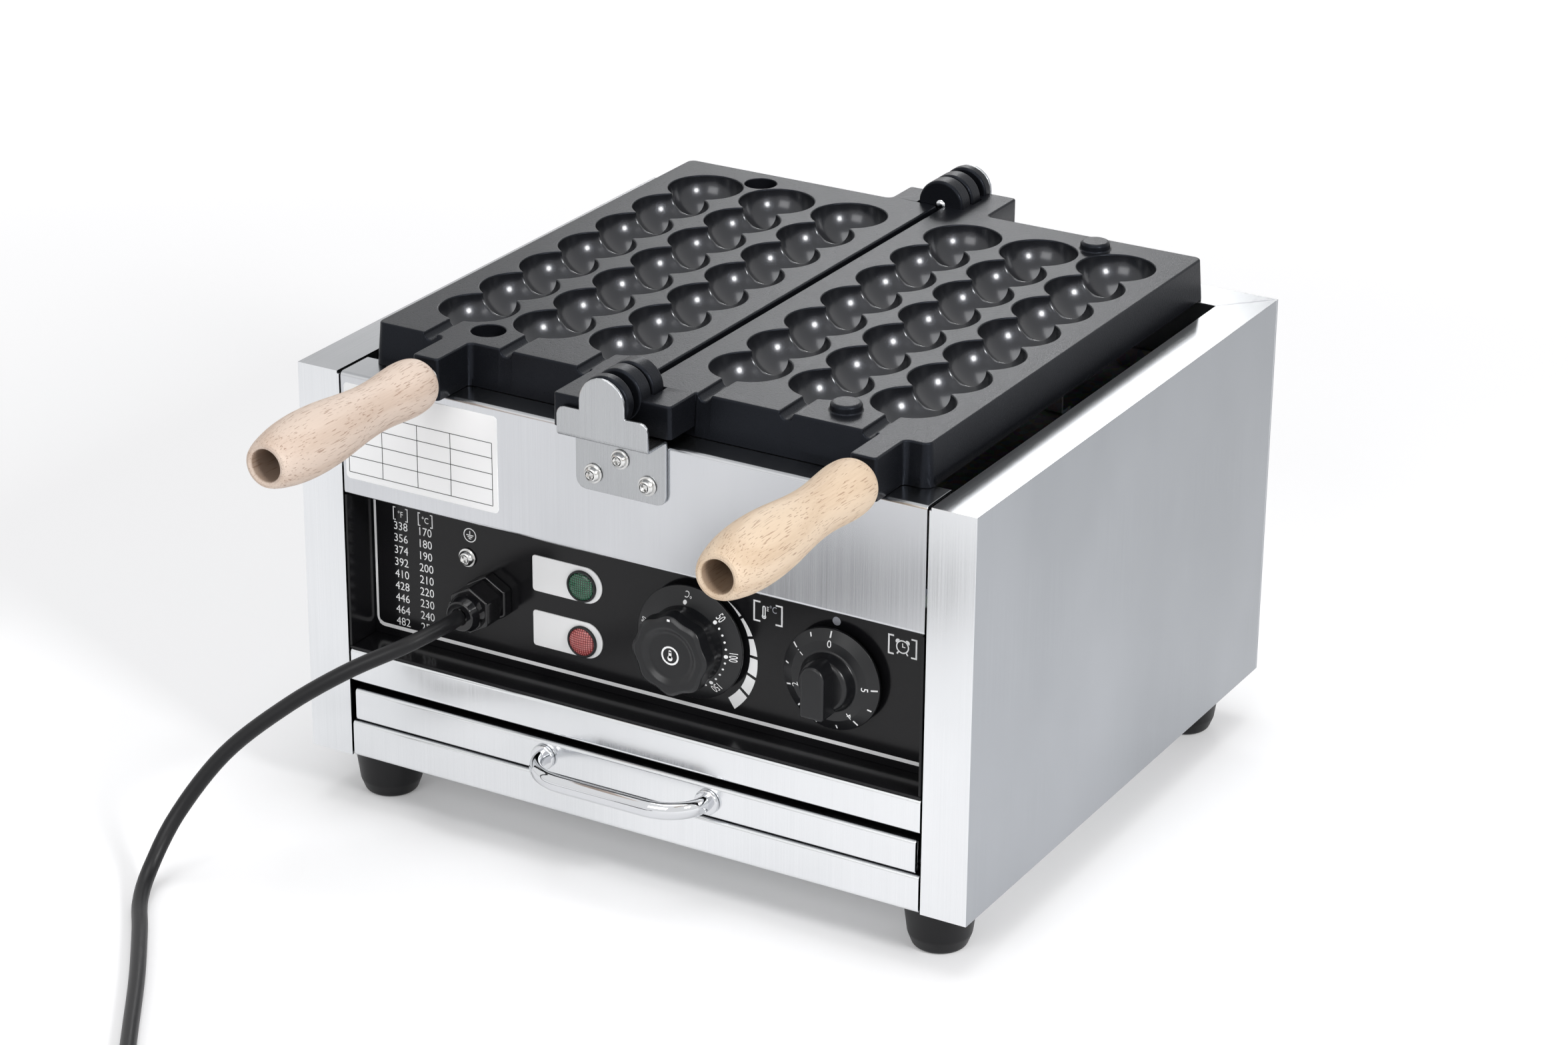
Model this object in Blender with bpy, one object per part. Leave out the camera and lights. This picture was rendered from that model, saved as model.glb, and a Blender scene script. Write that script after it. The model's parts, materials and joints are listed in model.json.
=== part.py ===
"""A countertop takoyaki maker: a sheet-steel housing with two cast plates that fold onto each other.

Lengths are in metres and +Z is up. In the housing's own frame the front faces lie at y = 0, the
sides mirror each other across x = 0, the bottom is z = 0 and the back is at y = HOUSING_DEPTH.
One root empty moves that frame so that the feet stand on the world's floor.
"""

import math

import bmesh
import bpy
from mathutils import Matrix, Vector

# Clearances that many pieces share
GAP = 0.0003
RUNNING_GAP = 0.0006
OVERRUN = 0.002
WELD = 1e-6

# Housing of folded stainless sheet
HOUSING_WIDTH = 0.360
HOUSING_DEPTH = 0.318
HOUSING_HEIGHT = 0.200
SHEET = 0.0012
BEND_RADIUS = 0.002
BEND_STEPS = 3
SIDE_FLANGE = 0.0235
SIDE_TOP_FLANGE = 0.0225
SIDE_BOTTOM_FLANGE = 0.0235
SEAM = 0.001
FRONT_TOP_FLANGE = 0.0236
BACK_TOP_FLANGE = 0.0244
CONTROL_OPENING = 0.0791
FLANGE_RETURN = 0.008
RAIL_FLANGE = 0.012
LOWER_RAIL_HEIGHT = 0.019
UPPER_RAIL_HEIGHT = 0.0189
DRAWER_FACE_HEIGHT = 0.017
DRAWER_BOTTOM_GAP = 0.0005
DRAWER_TOP_GAP = 0.0035
VENT_LENGTH = 0.060
VENT_WIDTH = 0.004
VENT_PITCH = 0.012
VENT_COUNT = 8

# Recessed control panel
PANEL_RECESS = 0.020
PANEL_SHEET = 0.0015
PANEL_TUCK = 0.012

# Rubber feet
FOOT_HEIGHT = 0.028
FOOT_TOP_RADIUS = 0.018
FOOT_BOTTOM_RADIUS = 0.014
FOOT_ROUNDING = 0.007
FOOT_INSET_X = 0.027
FOOT_INSET_Y = 0.027

# Cast plates
PLATE_HEIGHT = 0.0205
PLATE_FRONT = 0.0178
PLATE_WIDTH = 0.1447
PLATE_INNER_EDGE = 0.0018
PLATE_DRAFT = 0.0015
RIM_WALL = 0.007
DECK = 0.008
CAVITY_RADIUS = 0.0192
CAVITY_WALL = 0.0028
ROW_PITCH = 0.0421
BALL_PITCH = 0.0344
INNER_ROW = 0.0322
ROWS = 3
ROW_END_ROOM = 0.035
ROWS_BACK_SHIFT = 0.003
ROW_RISE = 0.00005
CAVITY_SIDES = 20
CAVITY_RINGS = 5
DOME_SIDES = 16
DOME_RINGS = 4
STICK_GROOVE_RADIUS = 0.0035
PEG_RADIUS = 0.0075
PEG_HEIGHT = 0.004
PEG_HOLE_RADIUS = 0.0083
PEG_HOLE_DEPTH = 0.0072
PEG_FRONT_INSET = 0.0172
PEG_REAR_INSET = 0.0152
ARM_WIDTH = 0.014
ARM_REACH = 0.0085
LEFT_ARM_X = -0.1013
RIGHT_ARM_X = 0.1275

# Hinge between the plates
AXIS_RISE = 0.0005
KNUCKLE_RADIUS = 0.0125
KNUCKLE_SIDES = 20
POCKET_CLEARANCE = 0.001
OUTER_KNUCKLE = 0.006
OUTER_KNUCKLE_GAP = 0.005
MIDDLE_KNUCKLE = 0.0092
INNER_KNUCKLE_GAP = 0.0015
INNER_KNUCKLE = 0.0095
HINGE_BLOCK_WIDTH = 0.0282
HINGE_BLOCK_HEIGHT = 0.0158
KNUCKLE_PROUD = 0.0005
PIN_RADIUS = 0.003
PIN_PROUD = 0.001
PIN_SIDES = 14

# Hinge brackets
BRACKET_SHEET = 0.0016
BRACKET_STANDOFF = 0.0175
BRACKET_HALF_WIDTH = 0.024
BRACKET_DROP = 0.029
BRACKET_SHELF_RISE = 0.0035
BRACKET_CORNER = 0.005
SHOULDER_CORNER = 0.004
SHOULDER_DROP = 0.005
TAB_RADIUS = 0.012
TAB_CLEARANCE = 0.0007
BRACKET_SCREW_SPREAD = 0.0144
BRACKET_SCREW_DROP = 0.0203
BRACKET_TOP_SCREW_DROP = 0.0104
SCREW_WASHER_RADIUS = 0.0047
SCREW_WASHER = 0.0008
SCREW_HEAD_RADIUS = 0.0038
SCREW_HEAD = 0.0024
SCREW_SHANK_RADIUS = 0.002
SCREW_SHANK = 0.007
SCREW_SIDES = 12

# Handles
FERRULE_RADIUS = 0.0078
FERRULE_LENGTH = 0.003
HANDLE_LENGTH = 0.118
HANDLE_RADIUS = 0.01425
HANDLE_BORE_RADIUS = 0.0075
HANDLE_BORE_DEPTH = 0.045
HANDLE_SIDES = 16
HANDLE_BORE_SIDES = 18
HANDLE_DROP = 0.0108
BOLT_RADIUS = 0.004
BOLT_HEAD_RADIUS = 0.0062
BOLT_HEAD = 0.005
BOLT_GRIP = 0.016
HANDLE_LENGTH_SHARES = (0.0, 0.018, 0.05, 0.11, 0.19, 0.30, 0.42, 0.53, 0.63, 0.74, 0.85, 0.92, 0.97, 1.0)
HANDLE_RADIUS_SHARES = (0.60, 0.78, 0.92, 1.0, 0.985, 0.90, 0.82, 0.785, 0.785, 0.83, 0.91, 0.93, 0.89, 0.76)

# Heating
SHIELD_SHEET = 0.001
SHIELD_FLANGE = 0.010
SUPPORT_SHEET = 0.0015
SUPPORT_FOOT = 0.010
SUPPORT_INSET = 0.065
SUPPORT_END = 0.012
ELEMENT_RADIUS = 0.004
ELEMENT_AIR_GAP = 0.003
ELEMENT_FRONT_INSET = 0.028
ELEMENT_REAR_INSET = 0.020
ELEMENT_LEG_BEND = 0.010
ELEMENT_TAIL = 0.014
ELEMENT_HOLE_CLEARANCE = 0.001

# Drawer
DRAWER_BACK_ROOM = 0.0247
DRAWER_SIDE_GAP = 0.002
DRAWER_RIM_DROP = 0.001
DRAWER_CHANNEL = 0.008
TRAY_SHEET = 0.001
RUNNER_WIDTH = 0.010
RUNNER_EDGE_GAP = 0.004
PULL_HALF_SPAN = 0.045
PULL_STRAIGHT_HALF = 0.023
PULL_STANDOFF = 0.0205
PULL_THICKNESS = 0.0065
PULL_HEIGHT = 0.0085
PULL_FOOT_RADIUS = 0.0055
PULL_FOOT = 0.0022
PULL_CURVE_STEPS = 6

# Temperature knob and thermostat
TEMPERATURE_X = 0.0263
TEMPERATURE_RISE = 0.0396
TEMPERATURE_SKIRT_RADIUS = 0.0281
TEMPERATURE_CAP_RADIUS = 0.0235
TEMPERATURE_NECK_RADIUS = 0.0185
TEMPERATURE_DISH_RADIUS = 0.0105
TEMPERATURE_KNOB_LENGTH = 0.0205
TEMPERATURE_SKIRT = 0.004
TEMPERATURE_DISH = 0.0015
LOBES = 8
LOBE_DEPTH = 0.0012
LOBE_STEPS = 4
THERMOSTAT_WIDTH = 0.042
THERMOSTAT_HEIGHT = 0.036
THERMOSTAT_DEPTH = 0.026

# Timer knob and timer
TIMER_X = 0.101
TIMER_RISE = 0.0391
TIMER_SKIRT_RADIUS = 0.025
TIMER_SKIRT = 0.0035
TIMER_HUB_RADIUS = 0.017
TIMER_HUB_LENGTH = 0.010
TIMER_KNOB_LENGTH = 0.020
TIMER_BAR_WIDTH = 0.0123
TIMER_BAR_LENGTH = 0.026
TIMER_RADIUS = 0.024
TIMER_DEPTH = 0.034

# Both knobs' shafts
KNOB_STANDOFF = 0.004
SHAFT_RADIUS = 0.003
SHAFT_CLEARANCE = 0.0005
SHAFT_IN_KNOB = 0.012
SHAFT_IN_BODY = 0.012
SHAFT_SIDES = 10
NECK_RADIUS = 0.0052
NECK_PROUD = 0.0015

# Lamps, earth screw, terminal block and gland on the control panel
LAMP_X = -0.0353
LAMP_HIGH_RISE = 0.0516
LAMP_LOW_RISE = 0.0232
LAMP_RADIUS = 0.0072
LAMP_BEZEL_RADIUS = 0.0082
LAMP_BEZEL = 0.0012
LAMP_LENS = 0.0022
LAMP_BODY_RADIUS = 0.006
LAMP_BODY = 0.020
EARTH_X = -0.0996
EARTH_RISE = 0.0515
TERMINAL_X = -0.125
TERMINAL_RISE = 0.0411
TERMINAL_LENGTH = 0.040
TERMINAL_HEIGHT = 0.018
TERMINAL_DEPTH = 0.020
TERMINAL_POLES = 3
TERMINAL_BARRIER = 0.0018
TERMINAL_POCKET = 0.006
GLAND_X = -0.086
GLAND_RISE = 0.0346
GLAND_FLANGE_RADIUS = 0.0125
GLAND_FLANGE = 0.006
GLAND_NECK_RADIUS = 0.0095
GLAND_NECK = 0.004
GLAND_NUT_RADIUS = 0.0118
GLAND_NUT = 0.010
GLAND_TAPER = 0.008
GLAND_MOUTH_RADIUS = 0.0072
GLAND_THREAD_RADIUS = 0.0075
GLAND_THREAD = 0.012
LOCKNUT_RADIUS = 0.0115
LOCKNUT = 0.005

# Mains cord, from the gland round the left front corner to the floor and on to its coil
CORD_DIAMETER = 0.0075
CORD_SPACING = 0.018
CORD_MOUTH_Y = (-0.0087, -0.0190)
CORD_ROUTE = (
    (-0.0940, -0.0395, 0.0895),
    (-0.1170, -0.0560, 0.0770),
    (-0.1430, -0.0690, 0.0580),
    (-0.1690, -0.0830, 0.0330),
    (-0.1860, -0.0990, 0.0040),
    (-0.1890, -0.1170, -0.0165),
    (-0.1810, -0.1360, -0.02365),
    (-0.1640, -0.1580, -0.02425),
    (-0.1380, -0.1930, -0.02425),
    (-0.1090, -0.2350, -0.02425),
    (-0.0674, -0.2950, -0.02345),
)
COIL_HEADING = (0.574, -0.819)
COIL_RADIUS = 0.040
COIL_TURNS = 5
COIL_STEPS = 24
COIL_PITCH = 0.0082
COIL_LIFT = 0.0018
COIL_LEAD = 0.0085
COIL_TAIL = 0.020
TIE_WIDTH = 0.010
TIE_SHEET = 0.0012
TIE_CLEARANCE = 0.0006
PLUG_LENGTH = 0.038
PLUG_WIDTH = 0.036
PLUG_THICKNESS = 0.026
PLUG_RELIEF = 0.022
PLUG_RELIEF_RADIUS = 0.0052
PLUG_SIDES = 16
PLUG_PIN_LENGTH = 0.018
PLUG_PIN_WIDTH = 0.0063
PLUG_PIN_SHEET = 0.0016
PLUG_PIN_SPREAD = 0.0079
PLUG_EARTH_DROP = 0.0052
PLUG_PIN_LEAN = math.radians(30)

# Places that follow from the sizes above
HALF_WIDTH = HOUSING_WIDTH / 2
FRONT_EDGE = HALF_WIDTH - SIDE_FLANGE
CENTRE_HALF = FRONT_EDGE - SEAM
PLATE_BOTTOM = HOUSING_HEIGHT + GAP
PLATE_TOP = PLATE_BOTTOM + PLATE_HEIGHT
AXIS_Z = PLATE_TOP + AXIS_RISE
PLATE_REAR = HOUSING_DEPTH - PLATE_FRONT
BALLS = int((PLATE_REAR - PLATE_FRONT - 2 * ROW_END_ROOM) / BALL_PITCH) + 1
PLATE_OUTER = PLATE_INNER_EDGE + PLATE_WIDTH
FIRST_BALL = (HOUSING_DEPTH - (BALLS - 1) * BALL_PITCH) / 2 + ROWS_BACK_SHIFT
ROW_PLACES = [INNER_ROW + row * ROW_PITCH for row in range(ROWS)]
PEG_X = (ROW_PLACES[-1] + ROW_PLACES[-2]) / 2
ARM_FRONT = -ARM_REACH
HANDLE_Z = PLATE_TOP - HANDLE_DROP
HANDLE_INNER_END = ARM_FRONT - FERRULE_LENGTH - 2 * GAP
HANDLE_OUTER_END = HANDLE_INNER_END - HANDLE_LENGTH
OUTER_KNUCKLE_Y = (
    -BRACKET_STANDOFF + BRACKET_SHEET + TAB_CLEARANCE,
    -BRACKET_STANDOFF + BRACKET_SHEET + TAB_CLEARANCE + OUTER_KNUCKLE,
)
MIDDLE_KNUCKLE_Y = (
    OUTER_KNUCKLE_Y[1] + OUTER_KNUCKLE_GAP,
    OUTER_KNUCKLE_Y[1] + OUTER_KNUCKLE_GAP + MIDDLE_KNUCKLE,
)
INNER_KNUCKLE_Y = (
    MIDDLE_KNUCKLE_Y[1] + INNER_KNUCKLE_GAP,
    MIDDLE_KNUCKLE_Y[1] + INNER_KNUCKLE_GAP + INNER_KNUCKLE,
)
LOWER_RAIL_TOP = LOWER_RAIL_HEIGHT
DRAWER_BOTTOM = LOWER_RAIL_TOP + DRAWER_BOTTOM_GAP
DRAWER_TOP = DRAWER_BOTTOM + DRAWER_FACE_HEIGHT
DRAWER_MIDDLE = (DRAWER_BOTTOM + DRAWER_TOP) / 2
UPPER_RAIL_BOTTOM = DRAWER_TOP + DRAWER_TOP_GAP
LEDGE_Z = UPPER_RAIL_BOTTOM + UPPER_RAIL_HEIGHT
TEMPERATURE_Z = LEDGE_Z + TEMPERATURE_RISE
TIMER_Z = LEDGE_Z + TIMER_RISE
LAMP_HIGH_Z = LEDGE_Z + LAMP_HIGH_RISE
LAMP_LOW_Z = LEDGE_Z + LAMP_LOW_RISE
EARTH_Z = LEDGE_Z + EARTH_RISE
TERMINAL_Z = LEDGE_Z + TERMINAL_RISE
GLAND_Z = LEDGE_Z + GLAND_RISE
UPPER_PANEL_BOTTOM = LEDGE_Z + CONTROL_OPENING
PANEL_TOP = UPPER_PANEL_BOTTOM + PANEL_TUCK
PANEL_BACK = PANEL_RECESS + PANEL_SHEET
SHIELD_Z = PANEL_TOP + GAP
DOME_BOTTOM = PLATE_TOP - CAVITY_RADIUS - CAVITY_WALL
ELEMENT_Z = DOME_BOTTOM - ELEMENT_AIR_GAP - ELEMENT_RADIUS
BACK_REACH = HOUSING_DEPTH + BRACKET_STANDOFF
FLOOR_Z = -FOOT_HEIGHT
DEPTH_CENTRE = (HANDLE_OUTER_END + BACK_REACH) / 2
KNOB_BACK = PANEL_RECESS - KNOB_STANDOFF

BODY_ORIGINS = {
    "housing": Vector((0, 0, 0)),
    "left_plate": Vector((0, HOUSING_DEPTH / 2, AXIS_Z)),
    "right_plate": Vector((0, HOUSING_DEPTH / 2, AXIS_Z)),
    "drawer": Vector((0, 0, DRAWER_MIDDLE)),
    "temperature": Vector((TEMPERATURE_X, KNOB_BACK, TEMPERATURE_Z)),
    "timer_dial": Vector((TIMER_X, KNOB_BACK, TIMER_Z)),
}

# Colour, roughness and metallic value of each material
FINISHES = {
    "stainless": ((0.60, 0.61, 0.62), 0.34, 1.0),
    "chrome": ((0.80, 0.81, 0.82), 0.08, 1.0),
    "zinc_steel": ((0.62, 0.62, 0.60), 0.30, 1.0),
    "cast_black": ((0.022, 0.023, 0.026), 0.38, 0.0),
    "black_panel": ((0.012, 0.012, 0.014), 0.30, 0.0),
    "black_plastic": ((0.015, 0.015, 0.016), 0.32, 0.0),
    "black_rubber": ((0.018, 0.018, 0.019), 0.62, 0.0),
    "beech": ((0.68, 0.50, 0.35), 0.55, 0.0),
    "green_lens": ((0.02, 0.22, 0.10), 0.12, 0.0),
    "red_lens": ((0.55, 0.06, 0.06), 0.12, 0.0),
    "element_steel": ((0.20, 0.19, 0.18), 0.45, 1.0),
    "galvanised": ((0.55, 0.56, 0.57), 0.42, 1.0),
    "ivory_plastic": ((0.72, 0.68, 0.58), 0.45, 0.0),
}


def clear_scene():
    for obj in list(bpy.data.objects):
        bpy.data.objects.remove(obj, do_unlink=True)


def material(finish):
    found = bpy.data.materials.get(finish)
    if found:
        return found
    colour, roughness, metallic = FINISHES[finish]
    made = bpy.data.materials.new(finish)
    made.use_nodes = True
    shader = made.node_tree.nodes["Principled BSDF"]
    shader.inputs["Base Color"].default_value = (*colour, 1)
    shader.inputs["Roughness"].default_value = roughness
    shader.inputs["Metallic"].default_value = metallic
    return made


def make_bodies():
    """One empty at the root and one on the axis of each body that moves."""
    root = bpy.data.objects.new("root", None)
    root.location = (0, -DEPTH_CENTRE, FOOT_HEIGHT)
    bpy.context.collection.objects.link(root)
    empties = {}
    for name, origin in BODY_ORIGINS.items():
        empty = bpy.data.objects.new(name + "_origin", None)
        empty.location = origin
        empty.parent = root
        bpy.context.collection.objects.link(empty)
        empties[name] = empty
    return empties


# Rough shapes, all in the housing's frame


def draft(bm):
    """A bmesh as a scratch object, its faces turned outwards."""
    bmesh.ops.recalc_face_normals(bm, faces=bm.faces)
    mesh = bpy.data.meshes.new("draft")
    bm.to_mesh(mesh)
    bm.free()
    obj = bpy.data.objects.new("draft", mesh)
    bpy.context.collection.objects.link(obj)
    return obj


def box(x, y, z):
    """A block between the low and high places given for each direction."""
    low = Vector((min(x), min(y), min(z)))
    high = Vector((max(x), max(y), max(z)))
    bm = bmesh.new()
    bmesh.ops.create_cube(bm, size=1)
    bmesh.ops.scale(bm, vec=high - low, verts=bm.verts)
    bmesh.ops.translate(bm, vec=(low + high) / 2, verts=bm.verts)
    return draft(bm)


def prism(outline, start, sweep):
    """An outline of 3-D points, extruded along the vector sweep from start."""
    bm = bmesh.new()
    face = bm.faces.new([bm.verts.new(Vector(start) + Vector(point)) for point in outline])
    grown = bmesh.ops.extrude_face_region(bm, geom=[face])
    moved = [item for item in grown["geom"] if isinstance(item, bmesh.types.BMVert)]
    bmesh.ops.translate(bm, vec=sweep, verts=moved)
    return draft(bm)


def lathe(profile, centre, axis, sides):
    """A profile of (distance along the axis, radius) pairs, spun about the axis through centre."""
    axis = Vector(axis).normalized()
    out = axis.orthogonal().normalized()
    out.rotate(Matrix.Rotation(math.pi / sides, 3, axis))
    bm = bmesh.new()
    verts = [bm.verts.new(Vector(centre) + axis * along + out * radius) for along, radius in profile]
    edges = [bm.edges.new(pair) for pair in zip(verts, verts[1:])]
    bmesh.ops.spin(
        bm, geom=verts + edges, cent=centre, axis=axis, dvec=(0, 0, 0),
        angle=math.tau, steps=sides, use_merge=True,
    )
    bmesh.ops.remove_doubles(bm, verts=bm.verts, dist=WELD)
    return draft(bm)


def cylinder(radius, y, x, z, sides):
    """A cylinder along Y, from y[0] to y[1]."""
    length = y[1] - y[0]
    return lathe([(0, 0), (0, radius), (length, radius), (length, 0)], (x, y[0], z), (0, 1, 0), sides)


def filleted(points, radius, steps, inner=None):
    """An open path whose corners are arcs. Corners that turn left get inner as their radius, if given."""
    points = [Vector(point) for point in points]
    path = [points[0]]
    for before, corner, after in zip(points, points[1:], points[2:]):
        into = (corner - before).normalized()
        away = (after - corner).normalized()
        angle = into.angle(away)
        left = into.cross(away).x > 0
        size = inner if inner is not None and left else radius
        reach = size * math.tan(angle / 2)
        bisector = (away - into).normalized()
        centre = corner + bisector * (size / math.cos(angle / 2))
        start = corner - into * reach - centre
        turn = into.cross(away).normalized()
        for step in range(steps + 1):
            spoke = start.copy()
            spoke.rotate(Matrix.Rotation(angle * step / steps, 3, turn))
            path.append(centre + spoke)
    path.append(points[-1])
    return path


def folded_sheet(path, sheet, x):
    """Sheet folded along X. The path of (y, z) points is its outer face, with its thickness on the left."""
    corners = [Vector((0, *point)) for point in path]
    sides = [(b - a).normalized() for a, b in zip(corners, corners[1:])]
    lefts = [Vector((0, -side.z, side.y)) for side in sides]
    offsets = [corners[0] + lefts[0] * sheet]
    for corner, before, after in zip(corners[1:-1], lefts, lefts[1:]):
        offsets.append(corner + (before + after) * (sheet / (1 + before.dot(after))))
    offsets.append(corners[-1] + lefts[-1] * sheet)
    outer = filleted(corners, BEND_RADIUS - sheet, BEND_STEPS, inner=BEND_RADIUS)
    inner = filleted(offsets, BEND_RADIUS, BEND_STEPS, inner=BEND_RADIUS - sheet)
    outline = outer + inner[::-1]
    return prism(outline, (x[0], 0, 0), (x[1] - x[0], 0, 0))


def tube(points, radius, rings=2):
    """A round tube on a path of points, as a mesh."""
    obj = cord_curve("draft", points, radius, rings)
    graph = bpy.context.evaluated_depsgraph_get()
    mesh = bpy.data.meshes.new_from_object(obj.evaluated_get(graph))
    bpy.data.objects.remove(obj)
    bm = bmesh.new()
    bm.from_mesh(mesh)
    bmesh.ops.remove_doubles(bm, verts=bm.verts, dist=WELD)
    return draft(bm)


def cord_curve(name, points, radius, rings):
    """A curve object with a round bevel and filled caps on a poly spline."""
    curve = bpy.data.curves.new(name, "CURVE")
    curve.dimensions = "3D"
    curve.bevel_depth = radius
    curve.bevel_resolution = rings
    curve.use_fill_caps = True
    spline = curve.splines.new("POLY")
    spline.points.add(len(points) - 1)
    for knot, point in zip(spline.points, points):
        knot.co = (*point, 1)
    obj = bpy.data.objects.new(name, curve)
    bpy.context.collection.objects.link(obj)
    return obj


def combine(target, other, operation):
    """An exact Boolean of two scratch objects. The second is used up."""
    modifier = target.modifiers.new(operation.lower(), "BOOLEAN")
    modifier.operation = operation
    modifier.solver = "EXACT"
    modifier.object = other
    graph = bpy.context.evaluated_depsgraph_get()
    mesh = bpy.data.meshes.new_from_object(target.evaluated_get(graph))
    target.modifiers.clear()
    target.data = mesh
    bpy.data.objects.remove(other)
    return target


def cut(target, *cutters):
    for cutter in cutters:
        combine(target, cutter, "DIFFERENCE")
    return target


def join(target, *pieces):
    for piece in pieces:
        combine(target, piece, "UNION")
    return target


def moved(obj, matrix):
    obj.data.transform(matrix)
    if matrix.determinant() < 0:
        obj.data.flip_normals()
    return obj


def mirrored(obj):
    """A copy of the object on the other side of x = 0."""
    twin = obj.copy()
    twin.data = obj.data.copy()
    bpy.context.collection.objects.link(twin)
    return moved(twin, Matrix.Scale(-1, 4, (1, 0, 0)))


def turned_about_middle(obj):
    """The object turned half a turn about the vertical through the housing's middle."""
    middle = Matrix.Translation((0, HOUSING_DEPTH / 2, 0))
    return moved(obj, middle @ Matrix.Rotation(math.pi, 4, "Z") @ middle.inverted())


def finish(obj, name, look, body="housing"):
    """Names a shape, gives it its material and hangs it on its body's empty."""
    obj.name = name
    obj.data.name = name
    obj.data.materials.clear()
    obj.data.materials.append(material(look))
    if obj.type == "MESH":
        obj.data.shade_smooth()
        obj.data.set_sharp_from_angle(angle=math.radians(35))
    obj.data.transform(Matrix.Translation(-BODY_ORIGINS[body]))
    obj.parent = BODIES[body]
    return obj


# Housing


def side_panel():
    """The right side: a wall with flanges at the front, top, back and bottom, and a mitred rear corner."""
    back = HOUSING_DEPTH - SHEET - GAP
    panel = box((HALF_WIDTH - SIDE_BOTTOM_FLANGE, HALF_WIDTH), (0, back), (0, HOUSING_HEIGHT))
    inside = (0, HALF_WIDTH - SHEET)
    floor_top = 2 * SHEET + GAP
    pocket = box(inside, (SHEET, back - SHEET), (floor_top, HOUSING_HEIGHT - SHEET))
    under = box(inside, (SHEET, HOUSING_DEPTH), (-OVERRUN, SHEET + GAP))
    front_trim = box((0, FRONT_EDGE), (-OVERRUN, SHEET + GAP), (-OVERRUN, HOUSING_HEIGHT + OVERRUN))
    back_trim = box((0, FRONT_EDGE), (back - SHEET - GAP, HOUSING_DEPTH), (floor_top, HOUSING_HEIGHT))
    top_edge = HALF_WIDTH - SIDE_TOP_FLANGE
    top_trim = box(
        (0, top_edge), (-OVERRUN, HOUSING_DEPTH), (HOUSING_HEIGHT - SHEET - GAP, HOUSING_HEIGHT + OVERRUN)
    )
    cut(panel, pocket, under, front_trim, back_trim, top_trim)
    mitre = [
        (top_edge - OVERRUN, HOUSING_DEPTH - BACK_TOP_FLANGE - GAP, 0),
        (top_edge, HOUSING_DEPTH - BACK_TOP_FLANGE - GAP, 0),
        (HALF_WIDTH - SHEET, HOUSING_DEPTH - SHEET - GAP, 0),
        (HALF_WIDTH - SHEET, HOUSING_DEPTH + OVERRUN, 0),
        (top_edge - OVERRUN, HOUSING_DEPTH + OVERRUN, 0),
    ]
    top = HOUSING_HEIGHT - SHEET - GAP
    return cut(panel, prism(mitre, (0, 0, top), (0, 0, SHEET + GAP + OVERRUN)))


def back_panel():
    """The back wall, whose top flange is mitred into the side panels' flanges."""
    wall = box((-HALF_WIDTH, HALF_WIDTH), (HOUSING_DEPTH - SHEET, HOUSING_DEPTH), (0, HOUSING_HEIGHT))
    edge = HALF_WIDTH - SIDE_TOP_FLANGE
    inset = HALF_WIDTH - SHEET - GAP
    back = HOUSING_DEPTH - SHEET
    flange = [
        (-edge, HOUSING_DEPTH - BACK_TOP_FLANGE, 0),
        (edge, HOUSING_DEPTH - BACK_TOP_FLANGE, 0),
        (inset, back, 0),
        (inset, back + SHEET / 2, 0),
        (-inset, back + SHEET / 2, 0),
        (-inset, back, 0),
    ]
    top = HOUSING_HEIGHT - SHEET
    join(wall, prism(flange, (0, 0, top), (0, 0, SHEET)))
    return screw_holes(wall, (back, HOUSING_DEPTH))


def front_upper_panel():
    """Front wall with a top flange, its down-turned return, and a lip that meets the control panel."""
    path = [
        (PANEL_RECESS - GAP, UPPER_PANEL_BOTTOM),
        (0, UPPER_PANEL_BOTTOM),
        (0, HOUSING_HEIGHT),
        (FRONT_TOP_FLANGE, HOUSING_HEIGHT),
        (FRONT_TOP_FLANGE, HOUSING_HEIGHT - FLANGE_RETURN),
    ]
    panel = folded_sheet(path[::-1], SHEET, (-CENTRE_HALF, CENTRE_HALF))
    return screw_holes(panel, (0, SHEET))


def front_rail(bottom, top):
    path = [(RAIL_FLANGE, top), (0, top), (0, bottom), (RAIL_FLANGE, bottom)]
    return folded_sheet(path, SHEET, (-CENTRE_HALF, CENTRE_HALF))


def base_plate():
    """The floor of the housing, with two banks of cooling slots."""
    edge = HALF_WIDTH - SHEET - GAP
    front = RAIL_FLANGE + GAP
    plate = box((-edge, edge), (SHEET + GAP, HOUSING_DEPTH - SHEET - GAP), (0, SHEET))
    notch = box((-CENTRE_HALF - SEAM, CENTRE_HALF + SEAM), (-OVERRUN, front), (-OVERRUN, SHEET + OVERRUN))
    cut(plate, notch)
    first = HOUSING_DEPTH / 2 - (VENT_COUNT - 1) * VENT_PITCH / 2
    for side in (-1, 1):
        inner = side * VENT_LENGTH / 2
        for slot in range(VENT_COUNT):
            middle = first + slot * VENT_PITCH
            width = (middle - VENT_WIDTH / 2, middle + VENT_WIDTH / 2)
            cut(plate, box((inner, inner + side * VENT_LENGTH), width, (-OVERRUN, SHEET + OVERRUN)))
    return plate


def foot():
    """A tapered rubber foot with a rounded sole, at the frame's origin."""
    height = FOOT_HEIGHT - GAP
    profile = [(0, 0), (0, FOOT_TOP_RADIUS)]
    for step in range(4):
        turn = math.pi / 2 * step / 3
        profile.append(
            (
                height - FOOT_ROUNDING + FOOT_ROUNDING * math.sin(turn),
                FOOT_BOTTOM_RADIUS - FOOT_ROUNDING + FOOT_ROUNDING * math.cos(turn),
            )
        )
    profile.append((height, 0))
    return lathe(profile, (0, 0, -GAP), (0, 0, -1), 16)


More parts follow.
